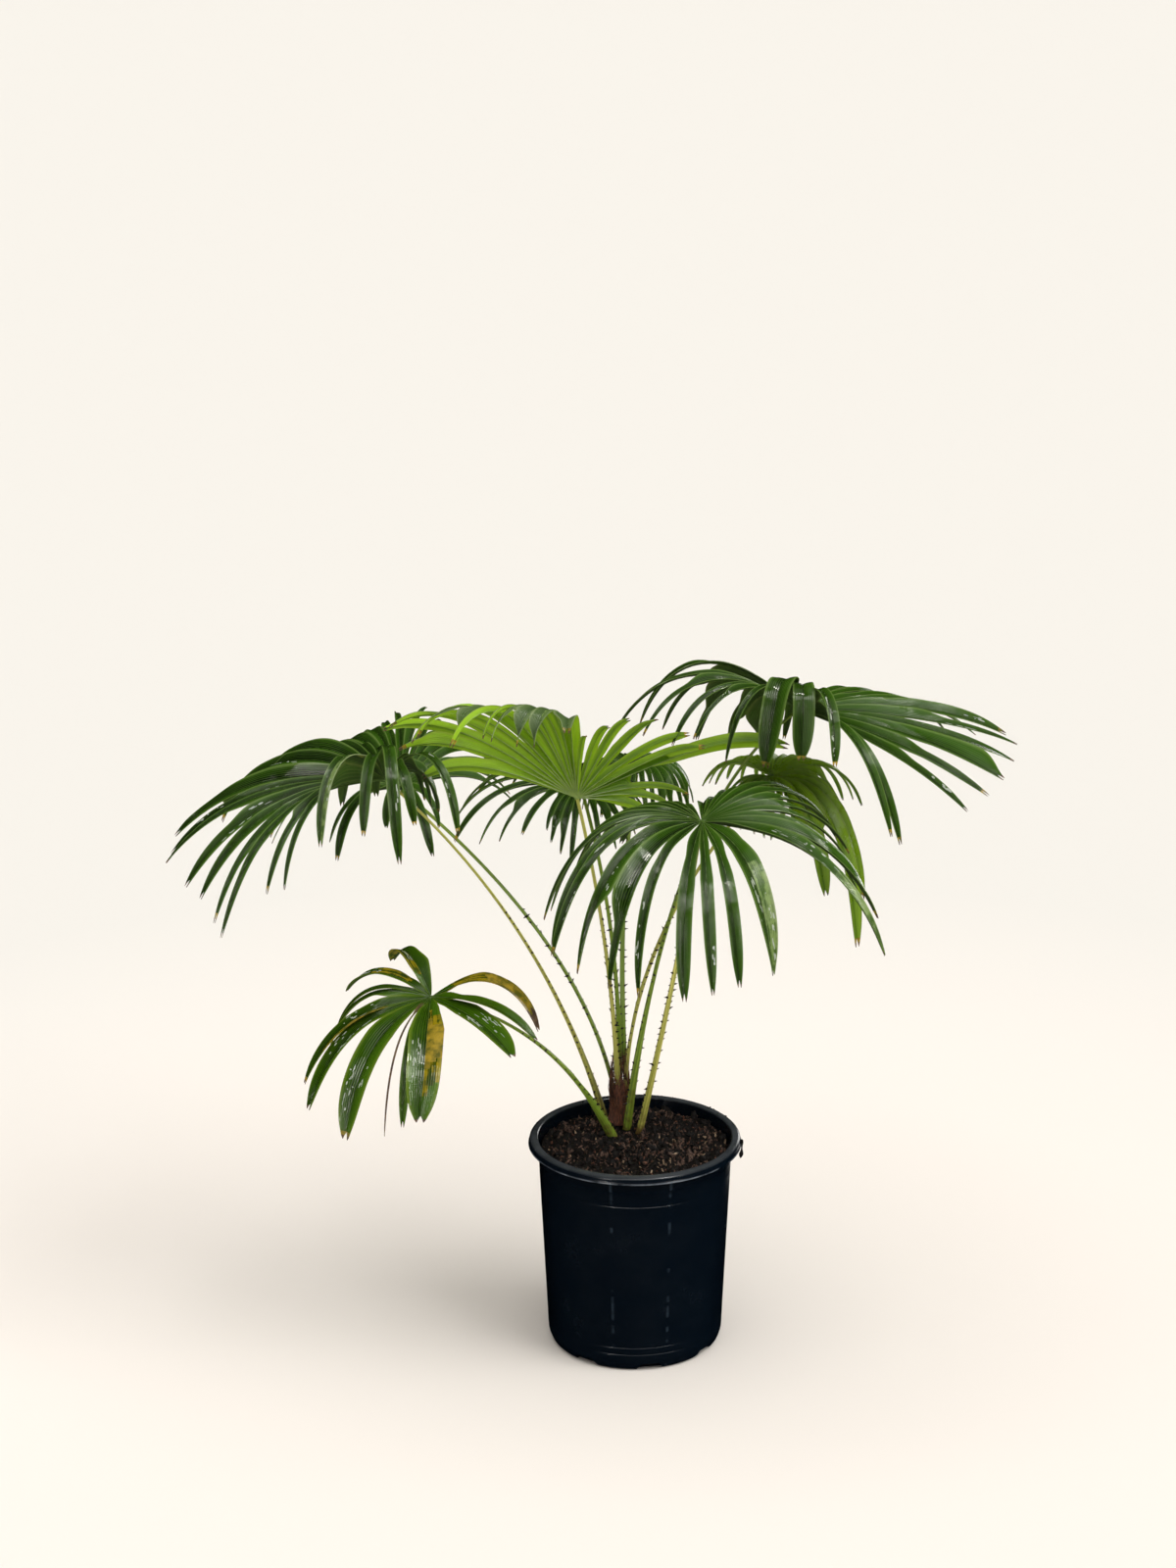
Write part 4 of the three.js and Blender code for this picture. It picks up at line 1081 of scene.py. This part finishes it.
# %% Thicken the blades and hand them to the frame
UPPER_SLOTS = 4
ribs, halves_of = [], {}
for leaf in LEAVES:
    blade, rows, halves_of[leaf["name"]] = blade_mesh(leaf)
    ribs += [(leaf, place, up) for _, place, _, up in rows]
    if not facing_up(blade, leaf):
        blade.data.flip_normals()
    top, pale, below, pale_below = LOOKS[leaf["look"]]
    for material in (top, pale, dried_yellow, dried_brown, below, pale_below, dried_yellow, dried_brown):
        blade.data.materials.append(material)
    thick = blade.modifiers.new("thickness", "SOLIDIFY")
    thick.thickness, thick.offset, thick.material_offset = BLADE_THICKNESS, -1, UPPER_SLOTS
    baked(blade)
    smooth(blade, 26)
    join_frame(blade, "blade_young" if leaf["look"] == "young" else "blade", "blade_" + leaf["name"])
print(len(LEAVES), "blades with", len(ribs), "segments")

# %% [markdown]
# Each segment has a raised pale midrib. They follow the traced paths, so Geometry Nodes turn those paths into
# curves, read the midrib's radius from an attribute on the path, and sweep a small round section along it.

# %% Sweep the midribs
sweep, given = new_tree("sweep midribs", [("Sides", "Int", 6), ("Material", "Material", None)])
paths = node(sweep, "GeometryNodeMeshToCurve", {"Mesh": given["Geometry"]})
radius = named(sweep, "radius_here", "FLOAT")
section = node(sweep, "GeometryNodeCurvePrimitiveCircle", {"Resolution": given["Sides"], "Radius": 1.0})
swept = node(
    sweep, "GeometryNodeCurveToMesh",
    {"Curve": paths.outputs[0], "Profile Curve": section.outputs[0], "Scale": radius, "Fill Caps": True},
)
end_tree(sweep, swept.outputs[0], given["Material"])

RIB_RADIUS, RIB_TIP_RADIUS, RIB_SINK = 0.75 * MM, 0.25 * MM, 0.35 * MM
RIB_SHARE = 0.9


def rib_paths(chosen):
    points, edges, radii = [], [], []
    stop = int(ROWS * RIB_SHARE)
    for _, place, up in chosen:
        start = len(points)
        for j in range(0, stop + 1, 2):
            t = j / stop
            points.append(place[j] - up[j] * RIB_SINK)
            radii.append(RIB_RADIUS + (RIB_TIP_RADIUS - RIB_RADIUS) * t)
        edges += chain(start, len(points))
    return radius_paths("rib_paths", points, edges, radii)


rib_green = plain_finish("midrib_green", (0.10, 0.17, 0.035), (0.045, 0.095, 0.012), 0.35)
rib_young = plain_finish("midrib_young", (0.30, 0.42, 0.10), (0.22, 0.34, 0.07), 0.4)
for name, young, material in [("midribs", False, rib_green), ("midribs_young", True, rib_young)]:
    source = rib_paths([r for r in ribs if (r[0]["look"] == "young") == young])
    midribs = grown(name, source, sweep, Material=material)
    bpy.data.objects.remove(source)
    outward(midribs)
    smooth(midribs, 50)
    join_frame(midribs, "blade_young" if young else "blade")
print("midribs:", len(ribs), "in two greens")

# %% [markdown]
# The plant has been watered, and films of water lie along the pleats and throw back the light; their pale
# colour is a painted glint. Each is a flat, drawn-out drop, lofted on the upper side of a half segment, in
# the direction that the segment runs.

# %% Lay films of water on the blades
FILM_LENGTH, FILM_WIDTH, FILM_HEIGHT = (1, 10), (0.5, 2.1), 0.3
FILMS_TOGETHER = (3, 7)
FILM_RINGS, FILM_SIDES = 6, 8


def film_rings(middle, along, across, up, length, width):
    """Rings of one film, from its one end to its other."""
    rings = []
    for k in range(FILM_RINGS + 1):
        t = 0.97 * (2 * k / FILM_RINGS - 1)
        size = (1 - t * t) ** 0.4
        rings.append([
            middle + along * length * t / 2 + across * width * size * math.cos(a) / 2
            + up * FILM_HEIGHT * MM * size * max(math.sin(a), -0.4) for a in circle(FILM_SIDES)
        ])
    return rings


dice = random.Random(77)
points, faces = [], []
for leaf in LEAVES:
    for low, high, clusters in leaf.get("wet", []):
        chosen = [half for half in halves_of[leaf["name"]] if low <= half[0] <= high]
        for _ in range(clusters):
            _, rib, free, up = dice.choice(chosen)
            middle_row = dice.randint(int(ROWS * 0.35), int(ROWS * 0.88))
            for _ in range(dice.randint(*FILMS_TOGETHER)):
                j, t = middle_row + dice.randint(-3, 3), dice.triangular(0.15, 0.85)
                across, step = free[j] - rib[j], rib[j + 1] - rib[j]
                along = unit(step)
                cup = up[j] * (CUP * np.linalg.norm(across) * math.sin(math.pi * t))
                middle, across = rib[j] + across * t + cup + step * dice.random(), unit(across)
                normal = np.cross(along, across)
                normal = normal * math.copysign(1, normal.dot(up[j]))
                length, width = dice.uniform(*FILM_LENGTH) * MM, dice.uniform(*FILM_WIDTH) * MM
                add_loft(points, faces, film_rings(middle, along, across, normal, length, width))
films = new_object("water_films", points, faces)
outward(films)
smooth(films, 60)
water_painted_glint, tree, shader = new_surface("water_film", roughness=0.05, Specular_IOR_Level=1.0)
# The whitish colour is a painted glint on the water.
painted_glint = mix_colour(tree, noise(tree, object_coords(tree), 40.0), (0.24, 0.30, 0.20), (0.75, 0.80, 0.72))
put(tree, shader.inputs["Base Color"], painted_glint)
films.data.materials.append(water_painted_glint)
join_frame(films, "blade")
print("water films:", len(faces), "faces")

# %% [markdown]
# Where a stalk meets its blade, all the midribs run together in a small ridge, the hastula. It is a drop
# shape, lofted along the blade's own axis: round at the stalk and drawn out to a point over the blade.

# %% Shape the hastulas
HASTULA_BACK, HASTULA_LENGTH, HASTULA_RADIUS, HASTULA_FLATNESS = 3.6 * MM, 9.5 * MM, 3.7 * MM, 0.5
HASTULA_RINGS, HASTULA_SIDES = 10, 12
for name, young, material in [("hastulas", False, rib_green), ("hastula_young", True, rib_young)]:
    points, faces = [], []
    for leaf in (one for one in LEAVES if (one["look"] == "young") == young):
        axis, across, normal = blade_frame(leaf)
        middle = np.array(leaf["hastula"], float) * MM
        rings = []
        for j in range(HASTULA_RINGS + 1):
            t = 0.03 + 0.94 * j / HASTULA_RINGS
            radius = HASTULA_RADIUS * math.sin(math.pi * t) ** 0.6 * (1.15 - 0.75 * t)
            centre = middle + axis * (HASTULA_LENGTH * t - HASTULA_BACK)
            rings.append([
                centre + across * radius * math.cos(a) + normal * radius * HASTULA_FLATNESS * math.sin(a)
                for a in circle(HASTULA_SIDES)
            ])
        add_loft(points, faces, rings)
    hastulas = new_object(name, points, faces)
    outward(hastulas)
    smooth(hastulas, 60)
    hastulas.data.materials.append(material)
    join_frame(hastulas, "blade_young" if young else "blade")
print("rings on each hastula:", HASTULA_RINGS + 1)

# %% [markdown]
# ## The petioles
# A petiole is a bare stalk, broad and flat at its foot and thinner towards the blade, rounded outside, with a
# shallow channel on its inner side. It is a section swept along the leaf's own curve. At its foot the section
# turns its broad side to the crown, as a leaf base wraps the stem.

# %% Sweep the petioles
PETIOLE_FLATNESS = 0.78
PETIOLE_TAPER = 2.2
PETIOLE_STEPS = 56
SECTION_POINTS = 20
CHANNEL_DEPTH = 0.34
FOOT_SINK = 5
END_BACK = 2.0
WRAPPED_SHARE = 0.3


def petiole_points(leaf):
    """Centre, tangent, sideways and outward directions and half width along a petiole."""
    x, y = leaf["foot"]
    on_crown = math.hypot(x - CROWN_AT[0], y - CROWN_AT[1]) < CROWN_TOP_RADIUS
    foot = np.array([x, y, (CROWN_TOP if on_crown else SOIL_LEVEL / MM) + 0.3])
    bow, hastula = np.array(leaf["bow"], float), np.array(leaf["hastula"], float)
    end = hastula - unit(hastula - bow) * END_BACK
    outwards = unit(np.array([hastula[0] - x, hastula[1] - y, 0]))
    from_crown = unit(np.array([x - CROWN_AT[0], y - CROWN_AT[1], 0]))
    result = []
    for j in range(PETIOLE_STEPS + 1):
        t = j / PETIOLE_STEPS
        centre = foot * (1 - t) ** 2 + bow * 2 * t * (1 - t) + end * t**2
        along = unit((bow - foot) * (1 - t) + (end - bow) * t)
        wrapped = max(0, 1 - t / WRAPPED_SHARE)
        side = unit(np.cross(along, outwards + (from_crown - outwards) * wrapped))
        out = np.cross(side, along)
        wide, narrow = leaf["width"]
        half = 0.5 * (narrow + (wide - narrow) * (1 - t) ** PETIOLE_TAPER)
        result.append((centre * MM, along, side, out, half * MM))
    sunk = result[0][0] - result[0][1] * FOOT_SINK * MM
    return [(sunk, *result[0][1:])] + result


def petiole_section(turn):
    """Across and outward share of the half width at a turn round the section."""
    across, out = math.cos(turn), math.sin(turn)
    if out >= 0:
        return across, PETIOLE_FLATNESS * out
    return across, PETIOLE_FLATNESS * out * (1 - CHANNEL_DEPTH * (1 - across**2) ** 2) * 0.8


petioles = {}
for leaf in LEAVES:
    stalk = petiole_points(leaf)
    rings = []
    for centre, _, side, out, half in stalk:
        ring = []
        for turn in circle(SECTION_POINTS):
            a, o = petiole_section(turn)
            ring.append(centre + side * a * half + out * o * half)
        rings.append(ring)
    points, faces = loft(rings)
    petiole = new_object("stalk_" + leaf["name"], points, faces)
    layer = petiole.data.uv_layers.new(name="stalk")
    for polygon in petiole.data.polygons:
        if len(polygon.vertices) != 4:
            continue
        ks = [v % SECTION_POINTS for v in polygon.vertices]
        wrap = max(ks) - min(ks) > 1
        for loop, v, k in zip(polygon.loop_indices, polygon.vertices, ks):
            u = 1.0 if wrap and k == 0 else k / SECTION_POINTS
            layer.data[loop].uv = (u, v // SECTION_POINTS / PETIOLE_STEPS)
    outward(petiole)
    smooth(petiole, 50)
    petioles[leaf["name"]] = (petiole, stalk)
print(len(petioles), "petioles")

# %% [markdown]
# The stalk is smooth green skin, lighter on four of the leaves. Both margins are edged in brown, and the foot
# is stained brown by old fibre, which fades out upwards along the stalk's own map.

# %% Finish of the petioles
def stalk_finish(name, deep, bright):
    material, tree, shader = new_surface(name, roughness=0.38, IOR=1.45)
    place = node(tree, "ShaderNodeUVMap", uv_map="stalk").outputs[0]
    round_stalk, up_stalk, _ = separate(tree, place)
    lines = noise(tree, stretched(tree, place, (26.0, 3.0, 1.0)), 1.0, 3.0)
    skin = mix_colour(tree, between(tree, lines, 0.36, 0.64, 0, 1), deep, bright)
    off_margin = math_node(tree, "ABSOLUTE", math_node(tree, "SINE", times(tree, round_stalk, 2 * math.pi)))
    spots = between(tree, noise(tree, object_coords(tree), 130.0, 3.0), 0.42, 0.62, 0.2, 1.0)
    edge = times(tree, between(tree, off_margin, 0.0, 0.22, 0.75, 0.0), spots)
    edged = mix_colour(tree, edge, skin, (0.06, 0.03, 0.012))
    stain = times(tree, between(tree, up_stalk, 0.0, 0.13, 0.95, 0.0), spots)
    put(tree, shader.inputs["Base Color"], mix_colour(tree, stain, edged, (0.11, 0.042, 0.018)))
    bump(tree, shader, lines, 0.0003, 0.5)
    return material


STALKS = {
    "green": stalk_finish("stalk_green", (0.10, 0.20, 0.012), (0.34, 0.48, 0.05)),
    "light": stalk_finish("stalk_light", (0.27, 0.30, 0.035), (0.74, 0.70, 0.17)),
}
LIGHT_STALKS = {"left_front", "centre_young", "right_back", "front_right"}
for name, (petiole, _) in petioles.items():
    petiole.data.materials.append(STALKS["light" if name in LIGHT_STALKS else "green"])
    join_frame(petiole, "petiole", "petiole_" + name)
print(len(petioles), "petioles,", len(LIGHT_STALKS), "of them light")

# %% [markdown]
# Short brown thorns stand on both margins of the lower three fifths of each stalk. They repeat along a path,
# so a Geometry Nodes tree walks each margin in even steps, drops some at random, and sets a small cone on the
# rest, turned to the direction that the margin's own attribute gives.

# %% Set the thorns
thorn_tree, given = new_tree(
    "thorns",
    [("Spacing", "Float", 9 * MM), ("Length", "Float", 4 * MM), ("Seed", "Int", 4), ("Kept", "Float", 0.7),
     ("Material", "Material", None)],
)
paths = node(thorn_tree, "GeometryNodeMeshToCurve", {"Mesh": given["Geometry"]}).outputs[0]
steps = {"Curve": paths, "Length": given["Spacing"]}
stepped = node(thorn_tree, "GeometryNodeResampleCurve", steps, mode="LENGTH").outputs[0]
places = node(thorn_tree, "GeometryNodeCurveToPoints", {"Curve": stepped}, mode="EVALUATED").outputs[0]
chance = random_value(thorn_tree, "FLOAT", 0.0, 1.0, given["Seed"])
dropped = node(
    thorn_tree, "FunctionNodeCompare", {0: chance, 1: given["Kept"]},
    data_type="FLOAT", operation="GREATER_THAN",
)
fewer = node(thorn_tree, "GeometryNodeDeleteGeometry", {"Geometry": places, "Selection": dropped.outputs[0]})
wobble = random_value(thorn_tree, "FLOAT_VECTOR", (-0.35, -0.35, -0.35), (0.35, 0.35, 0.35), given["Seed"])
leaning = vector_node(thorn_tree, "ADD", named(thorn_tree, "outwards", "FLOAT_VECTOR"), wobble)
turned_to = node(thorn_tree, "FunctionNodeAlignRotationToVector", {"Vector": leaning}, axis="Z").outputs[0]
thorn = node(
    thorn_tree, "GeometryNodeMeshCone",
    {"Vertices": 6, "Side Segments": 1, "Radius Top": 0.02, "Radius Bottom": 0.34, "Depth": 1.3},
).outputs["Mesh"]
sunk = {"Geometry": thorn, "Translation": (0, 0, -0.3)}
seated = node(thorn_tree, "GeometryNodeTransform", sunk).outputs[0]
size = times(thorn_tree, random_value(thorn_tree, "FLOAT", 0.45, 1.1, given["Seed"]), given["Length"])
placed = set_on_points(thorn_tree, fewer.outputs[0], seated, turned_to, size)
end_tree(thorn_tree, placed, given["Material"])

THORNY_SHARE = 0.62
thorn_brown = plain_finish("thorn_brown", (0.035, 0.018, 0.010), (0.012, 0.007, 0.005), 0.5)
points, edges, directions = [], [], []
for _, stalk in petioles.values():
    for sign in (-1, 1):
        start = len(points)
        for centre, along, side, _, half in stalk[3 : int(len(stalk) * THORNY_SHARE)]:
            points.append(centre + side * sign * half * 0.97)
            directions.append(side * sign + along * 0.25)
        edges += chain(start, len(points))
margins = new_object("margins", points, edges=edges)
field = margins.data.attributes.new("outwards", "FLOAT_VECTOR", "POINT")
field.data.foreach_set("vector", np.array(directions, np.float32).ravel())
thorns = grown(
    "thorns", margins, thorn_tree, Material=thorn_brown, Spacing=8.5 * MM, Length=5.2 * MM, Kept=0.8
)
bpy.data.objects.remove(margins)
join_frame(thorns, "petiole")
print("thorny margins:", len(points), "points")

# %% [markdown]
# ## The crown
# The short stem is a stub of old leaf bases, wrapped in reddish brown fibre. Its relief is written into the
# mesh: broad overlapping scales round it, and fine ridges along it. Loose fibres are scattered over it.

# %% Model the crown
CROWN_SIDES, CROWN_LEVELS = 96, 44
CROWN_FOOT_RADIUS, CROWN_WAIST_RADIUS = 13.2, 10.6
dice = random.Random(21)
ridges = [(dice.randint(9, 40), dice.uniform(0, 6.28), dice.uniform(-0.06, 0.06)) for _ in range(10)]
soil_mm = SOIL_LEVEL / MM


def crown_radius(turn, z):
    s = (z - soil_mm) / (CROWN_TOP - soil_mm)
    flare = (CROWN_FOOT_RADIUS - CROWN_WAIST_RADIUS) * max(0, 1 - s / 0.35) ** 2
    swell = 0.6 * (CROWN_TOP_RADIUS - CROWN_WAIST_RADIUS) * max(0, s) ** 2
    scales = 0.9 * abs(math.sin(1.5 * turn + 2.2 * s)) + 0.7 * ((s * 3.2 + turn / 2.1) % 1)
    fine = sum(math.sin(n * turn + p + w * z * 6) for n, p, w in ridges) * 0.12
    return CROWN_WAIST_RADIUS + flare + swell + scales + fine - 0.9


def at_crown(r, turn, z):
    """A place in metres, from millimetres: how far from the crown's axis, at which turn and how high."""
    return ((CROWN_AT[0] + r * math.cos(turn)) * MM, (CROWN_AT[1] + r * math.sin(turn)) * MM, z * MM)


rings = []
for j in range(CROWN_LEVELS + 1):
    z = soil_mm - 3 + (CROWN_TOP - soil_mm + 3) * j / CROWN_LEVELS
    close = 1 - 0.35 * max(0, (z - CROWN_TOP + 5) / 5) ** 2
    rings.append([at_crown(crown_radius(turn, z) * close, turn, z) for turn in circle(CROWN_SIDES)])
crown = new_object("crown_stub", *loft(rings))
outward(crown)
smooth(crown, 70)
crown_brown, tree, shader = new_surface("crown_fibre", roughness=0.85)
strands = noise(tree, stretched(tree, object_coords(tree), (900.0, 900.0, 60.0)), 1.0, 4.0, 0.6)
share = between(tree, strands, 0.35, 0.66, 0, 1)
put(tree, shader.inputs["Base Color"], mix_colour(tree, share, (0.022, 0.007, 0.004), (0.30, 0.095, 0.040)))
bump(tree, shader, strands, 0.0012, 0.9)
crown.data.materials.append(crown_brown)
join_frame(crown, "crown_fibre", "crown")
print("crown:", len(rings), "rings of", CROWN_SIDES, "points")

# %% [markdown]
# The stub is wrapped in the sheaths of leaves that have gone: thin tongues with torn upper ends, one over the
# other. Between them, and up round the lowest part of the stalks, stand loose hairs of fibre. The hairs use
# the sweep tree again, with a four-sided section.

# %% Wrap the crown in sheaths and fibre
SHEATHS = 9
SHEATH_ROWS, SHEATH_COLUMNS = 12, 14
points, faces = [], []
for i in range(SHEATHS):
    middle = 2 * math.pi * i / SHEATHS + dice.uniform(-0.3, 0.3)
    half_turn, top_z, off = dice.uniform(0.35, 0.7), dice.uniform(276, 314), 0.4 + 0.45 * (i % 3)
    torn = [dice.uniform(0, 7) for _ in range(SHEATH_COLUMNS + 1)]
    start = len(points)
    for j in range(SHEATH_ROWS + 1):
        for c in range(SHEATH_COLUMNS + 1):
            t, u = j / SHEATH_ROWS, 2 * c / SHEATH_COLUMNS - 1
            z = soil_mm - 2 + (top_z - torn[c] * t * t - 9 * u * u - soil_mm + 2) * t
            turn = middle + half_turn * u * (1 - 0.45 * t)
            curl = 1.1 * max(0, t - 0.6) * 2.5 * (0.4 + torn[c] / 7)
            r = crown_radius(turn, min(z, CROWN_TOP)) + off + curl
            r -= 0.16 * max(0, z - CROWN_TOP)
            points.append(at_crown(r, turn, z))
    for j in range(SHEATH_ROWS):
        for c in range(SHEATH_COLUMNS):
            v = start + j * (SHEATH_COLUMNS + 1) + c
            faces.append((v, v + 1, v + SHEATH_COLUMNS + 2, v + SHEATH_COLUMNS + 1))
sheaths = new_object("crown_sheaths", points, faces)
thick = sheaths.modifiers.new("thickness", "SOLIDIFY")
thick.thickness, thick.offset = 0.5 * MM, 0
baked(sheaths)
outward(sheaths)
smooth(sheaths, 50)
sheaths.data.materials.append(crown_brown)
join_frame(sheaths, "crown_fibre")

FIBRES, FIBRE_STEPS = 420, 7
points, edges, radii = [], [], []
for _ in range(FIBRES):
    turn, z = dice.uniform(0, 2 * math.pi), dice.uniform(soil_mm - 1, CROWN_TOP + 16)
    rise, lean = dice.uniform(10, 38), dice.uniform(-0.9, 0.9)
    puff = dice.uniform(0.3, 4.5) if dice.random() < 0.3 else dice.uniform(0.2, 1.4)
    start = len(points)
    for k in range(FIBRE_STEPS + 1):
        t = k / FIBRE_STEPS
        height = z + rise * t
        above = max(0, height - CROWN_TOP)
        r = crown_radius(turn, min(height, CROWN_TOP)) + 0.3 + puff * t * t - 0.13 * above
        a = turn + lean * t
        points.append(at_crown(r, a, height))
        radii.append((0.34 - 0.22 * t) * MM)
    edges += chain(start, len(points))
hairs = radius_paths("hair_paths", points, edges, radii)
fibre_brown = plain_finish("fibre_brown", (0.32, 0.14, 0.065), (0.08, 0.028, 0.014), 0.7)
fibres = grown("crown_fibres", hairs, sweep, Material=fibre_brown, Sides=4)
bpy.data.objects.remove(hairs)
outward(fibres)
join_frame(fibres, "crown_fibre")
print("loose fibres:", len(points), "points")

# %% [markdown]
# Potting leaves its traces: a few crumbs lie on the back of the rim, and a drop of wet peat has dried where
# it ran over the rim's right side. The drop is a lumpy strand: a section swept down, thick and thin in turns.

# %% Crumbs and a dried drop on the rim
RIM_CRUMBS_FROM, RIM_CRUMBS_TO, RIM_STEPS = 20, 165, 60
points = []
for k in range(RIM_STEPS + 1):
    turn = math.radians(RIM_CRUMBS_FROM + (RIM_CRUMBS_TO - RIM_CRUMBS_FROM) * k / RIM_STEPS)
    for r in (MOUTH_RADIUS + 1.5 * MM, RIM_RADIUS - 3 * MM):
        points.append((r * math.cos(turn), r * math.sin(turn), POT_HEIGHT))
faces = [(2 * k, 2 * k + 1, 2 * k + 3, 2 * k + 2) for k in range(RIM_STEPS)]
rim_top = new_object("rim_top", points, faces)
rim_crumbs = scattered_bits("rim_crumbs", rim_top, 22000.0, 4, 0.5, 1.7, 0.6, 1.1, soil_dark)
bpy.data.objects.remove(rim_top)
join_frame(rim_crumbs, "potting_mix")

DROP_AT_DEG, DROP_TOP, DROP_LENGTH = -4, POT_HEIGHT - 3 * MM, 23 * MM
DROP_RINGS, DROP_SIDES = 18, 10
turn = math.radians(DROP_AT_DEG)
off_rim = RIM_RADIUS + 0.4 * MM
rings = []
for j in range(DROP_RINGS + 1):
    t = j / DROP_RINGS
    radius = 1.5 + 0.7 * math.sin(9 * t + 0.6) + 0.8 * math.exp(-40 * (t - 0.8) ** 2)
    radius *= math.sqrt(max(0.02, 1 - t**6))
    x = (off_rim + 0.8 * MM * math.sin(4 * t)) * math.cos(turn)
    y = off_rim * math.sin(turn) + 1.2 * MM * math.sin(5 * t)
    middle = Vector((x, y, DROP_TOP - DROP_LENGTH * t))
    rings.append([middle + Vector((math.cos(a), math.sin(a), 0)) * radius * MM for a in circle(DROP_SIDES)])
drop = new_object("dried_drop", *loft(rings))
outward(drop)
smooth(drop, 60)
drop.data.materials.append(soil_dark)
join_frame(drop, "potting_mix")
print("dried drop:", len(rings), "rings")

# %% [markdown]
# ## Floor and light
# A plain pale floor runs out to a pale ring of wall, which is seen by the camera only and glows in the tint
# of the far floor. The floor is painted lighter near the pot, a painted light that offsets the plant's shade
# on it, and isn't mirrored in the pot.
#
# Three lamps are suns, which light everything evenly: a wide soft key from the right throws the pot's short
# shadow to the left, a second one hangs overhead, and a third gives the leaves their sheen. The others are
# small areas that give highlights alone, such as the thin upright one on the pot, so that each highlight can
# be placed without changing the light on the rest.

# %% Floor, lights and world
FLOOR_REACH, BACKDROP_HEIGHT, STAGE_SIDES = 60, 30, 96
# Near the pot the floor is painted lighter, to offset the plant's shade on it.
NEAR_FLOOR_PAINTED_LIGHT, FAR_FLOOR, TINT_FROM, TINT_TO = (0.925, 0.878, 0.832), (0.830, 0.814, 0.782), 0.8, 1.7
edge = [(FLOOR_REACH * math.cos(a), FLOOR_REACH * math.sin(a), 0) for a in circle(STAGE_SIDES)]
floor = new_object("floor", edge, [tuple(range(STAGE_SIDES))])
paper, tree, shader = new_surface("paper", roughness=1.0, Specular_IOR_Level=0.0)
further = between(tree, off_axis(tree, object_coords(tree)), TINT_FROM, TINT_TO, 0, 1)
put(tree, shader.inputs["Base Color"], mix_colour(tree, further, NEAR_FLOOR_PAINTED_LIGHT, FAR_FLOOR))
floor.data.materials.append(paper)
floor.visible_glossy = False

top_edge = [(x, y, BACKDROP_HEIGHT) for x, y, _ in edge]
wall = []
for k in range(STAGE_SIDES):
    after = (k + 1) % STAGE_SIDES
    wall.append((k, after, STAGE_SIDES + after, STAGE_SIDES + k))
backdrop = new_object("backdrop", edge + top_edge, wall)
glow, _, _ = new_surface(
    "backdrop_glow", roughness=1.0, Specular_IOR_Level=0.0, Base_Color=(0, 0, 0, 1),
    Emission_Color=(0.956, 0.913, 0.839, 1), Emission_Strength=1.0,
)
backdrop.data.materials.append(glow)
backdrop.visible_diffuse = backdrop.visible_glossy = backdrop.visible_shadow = False

LAMP_COLOUR = (1.0, 0.985, 0.955)
# name, energy, direction that it shines from, whether it gives highlights alone or none, its width in degrees
SUNS = [
    ("key", 1.43, (0.88, -0.42, 1.0), False, 42),
    ("overhead", 1.36, (-0.06, -0.2, 1.0), False, 75),
    ("sheen", 0.35, (0.3, -0.5, 1.0), True, 40),
]
# name, energy, place, place that it is aimed at, width and height of its face
HIGHLIGHTS = [
    ("strip", 18, (-1.5, -2.6, 1.0), (0, 0, 0.2), 0.05, 1.5),
    ("edge", 11, (2.0, -2.2, 1.5), (0, 0, 0.3), 0.06, 0.9),
    ("side", 10, (1.3, 2.4, 0.6), (0, 0, 0.15), 0.6, 1.2),
    ("arc", 32, (0.1, -2.4, 2.4), (0, 0, 0.3), 3.0, 0.45),
    ("low edge", 0.07, (0.30, 0.42, 0.06), (0.1, 0, 0.1), 0.25, 0.12),
    ("glint", 24, (1.3, -1.5, 2.6), (0, 0, 0.6), 0.25, 0.25),
]


def lamp(name, kind, energy, at, aim, gloss_only, **settings):
    """A lamp that gives highlights alone, or with gloss_only False none."""
    data = bpy.data.lights.new(name, kind)
    data.energy, data.color = energy, LAMP_COLOUR
    for key, value in settings.items():
        setattr(data, key, value)
    made = bpy.data.objects.new(name, data)
    bpy.context.scene.collection.objects.link(made)
    made.location = at
    made.rotation_euler = (Vector(aim) - Vector(at)).to_track_quat("-Z", "Y").to_euler()
    made.visible_camera = False
    made.visible_diffuse = not gloss_only
    made.visible_glossy = gloss_only


for name, energy, at, gloss_only, degrees in SUNS:
    lamp(name, "SUN", energy, at, (0, 0, 0), gloss_only, angle=math.radians(degrees))
for name, energy, at, aim, width, height in HIGHLIGHTS:
    lamp(name, "AREA", energy, at, aim, True, shape="RECTANGLE", size=width, size_y=height)
world = bpy.data.worlds.new("studio")
world.use_nodes = True
background = world.node_tree.nodes["Background"]
background.inputs["Color"].default_value = (1.0, 0.955, 0.89, 1)
background.inputs["Strength"].default_value = 0.40
world.cycles_visibility.glossy = False
bpy.context.scene.world = world
bpy.context.scene.view_settings.view_transform = "Standard"
print(len(SUNS) + len(HIGHLIGHTS), "lamps")
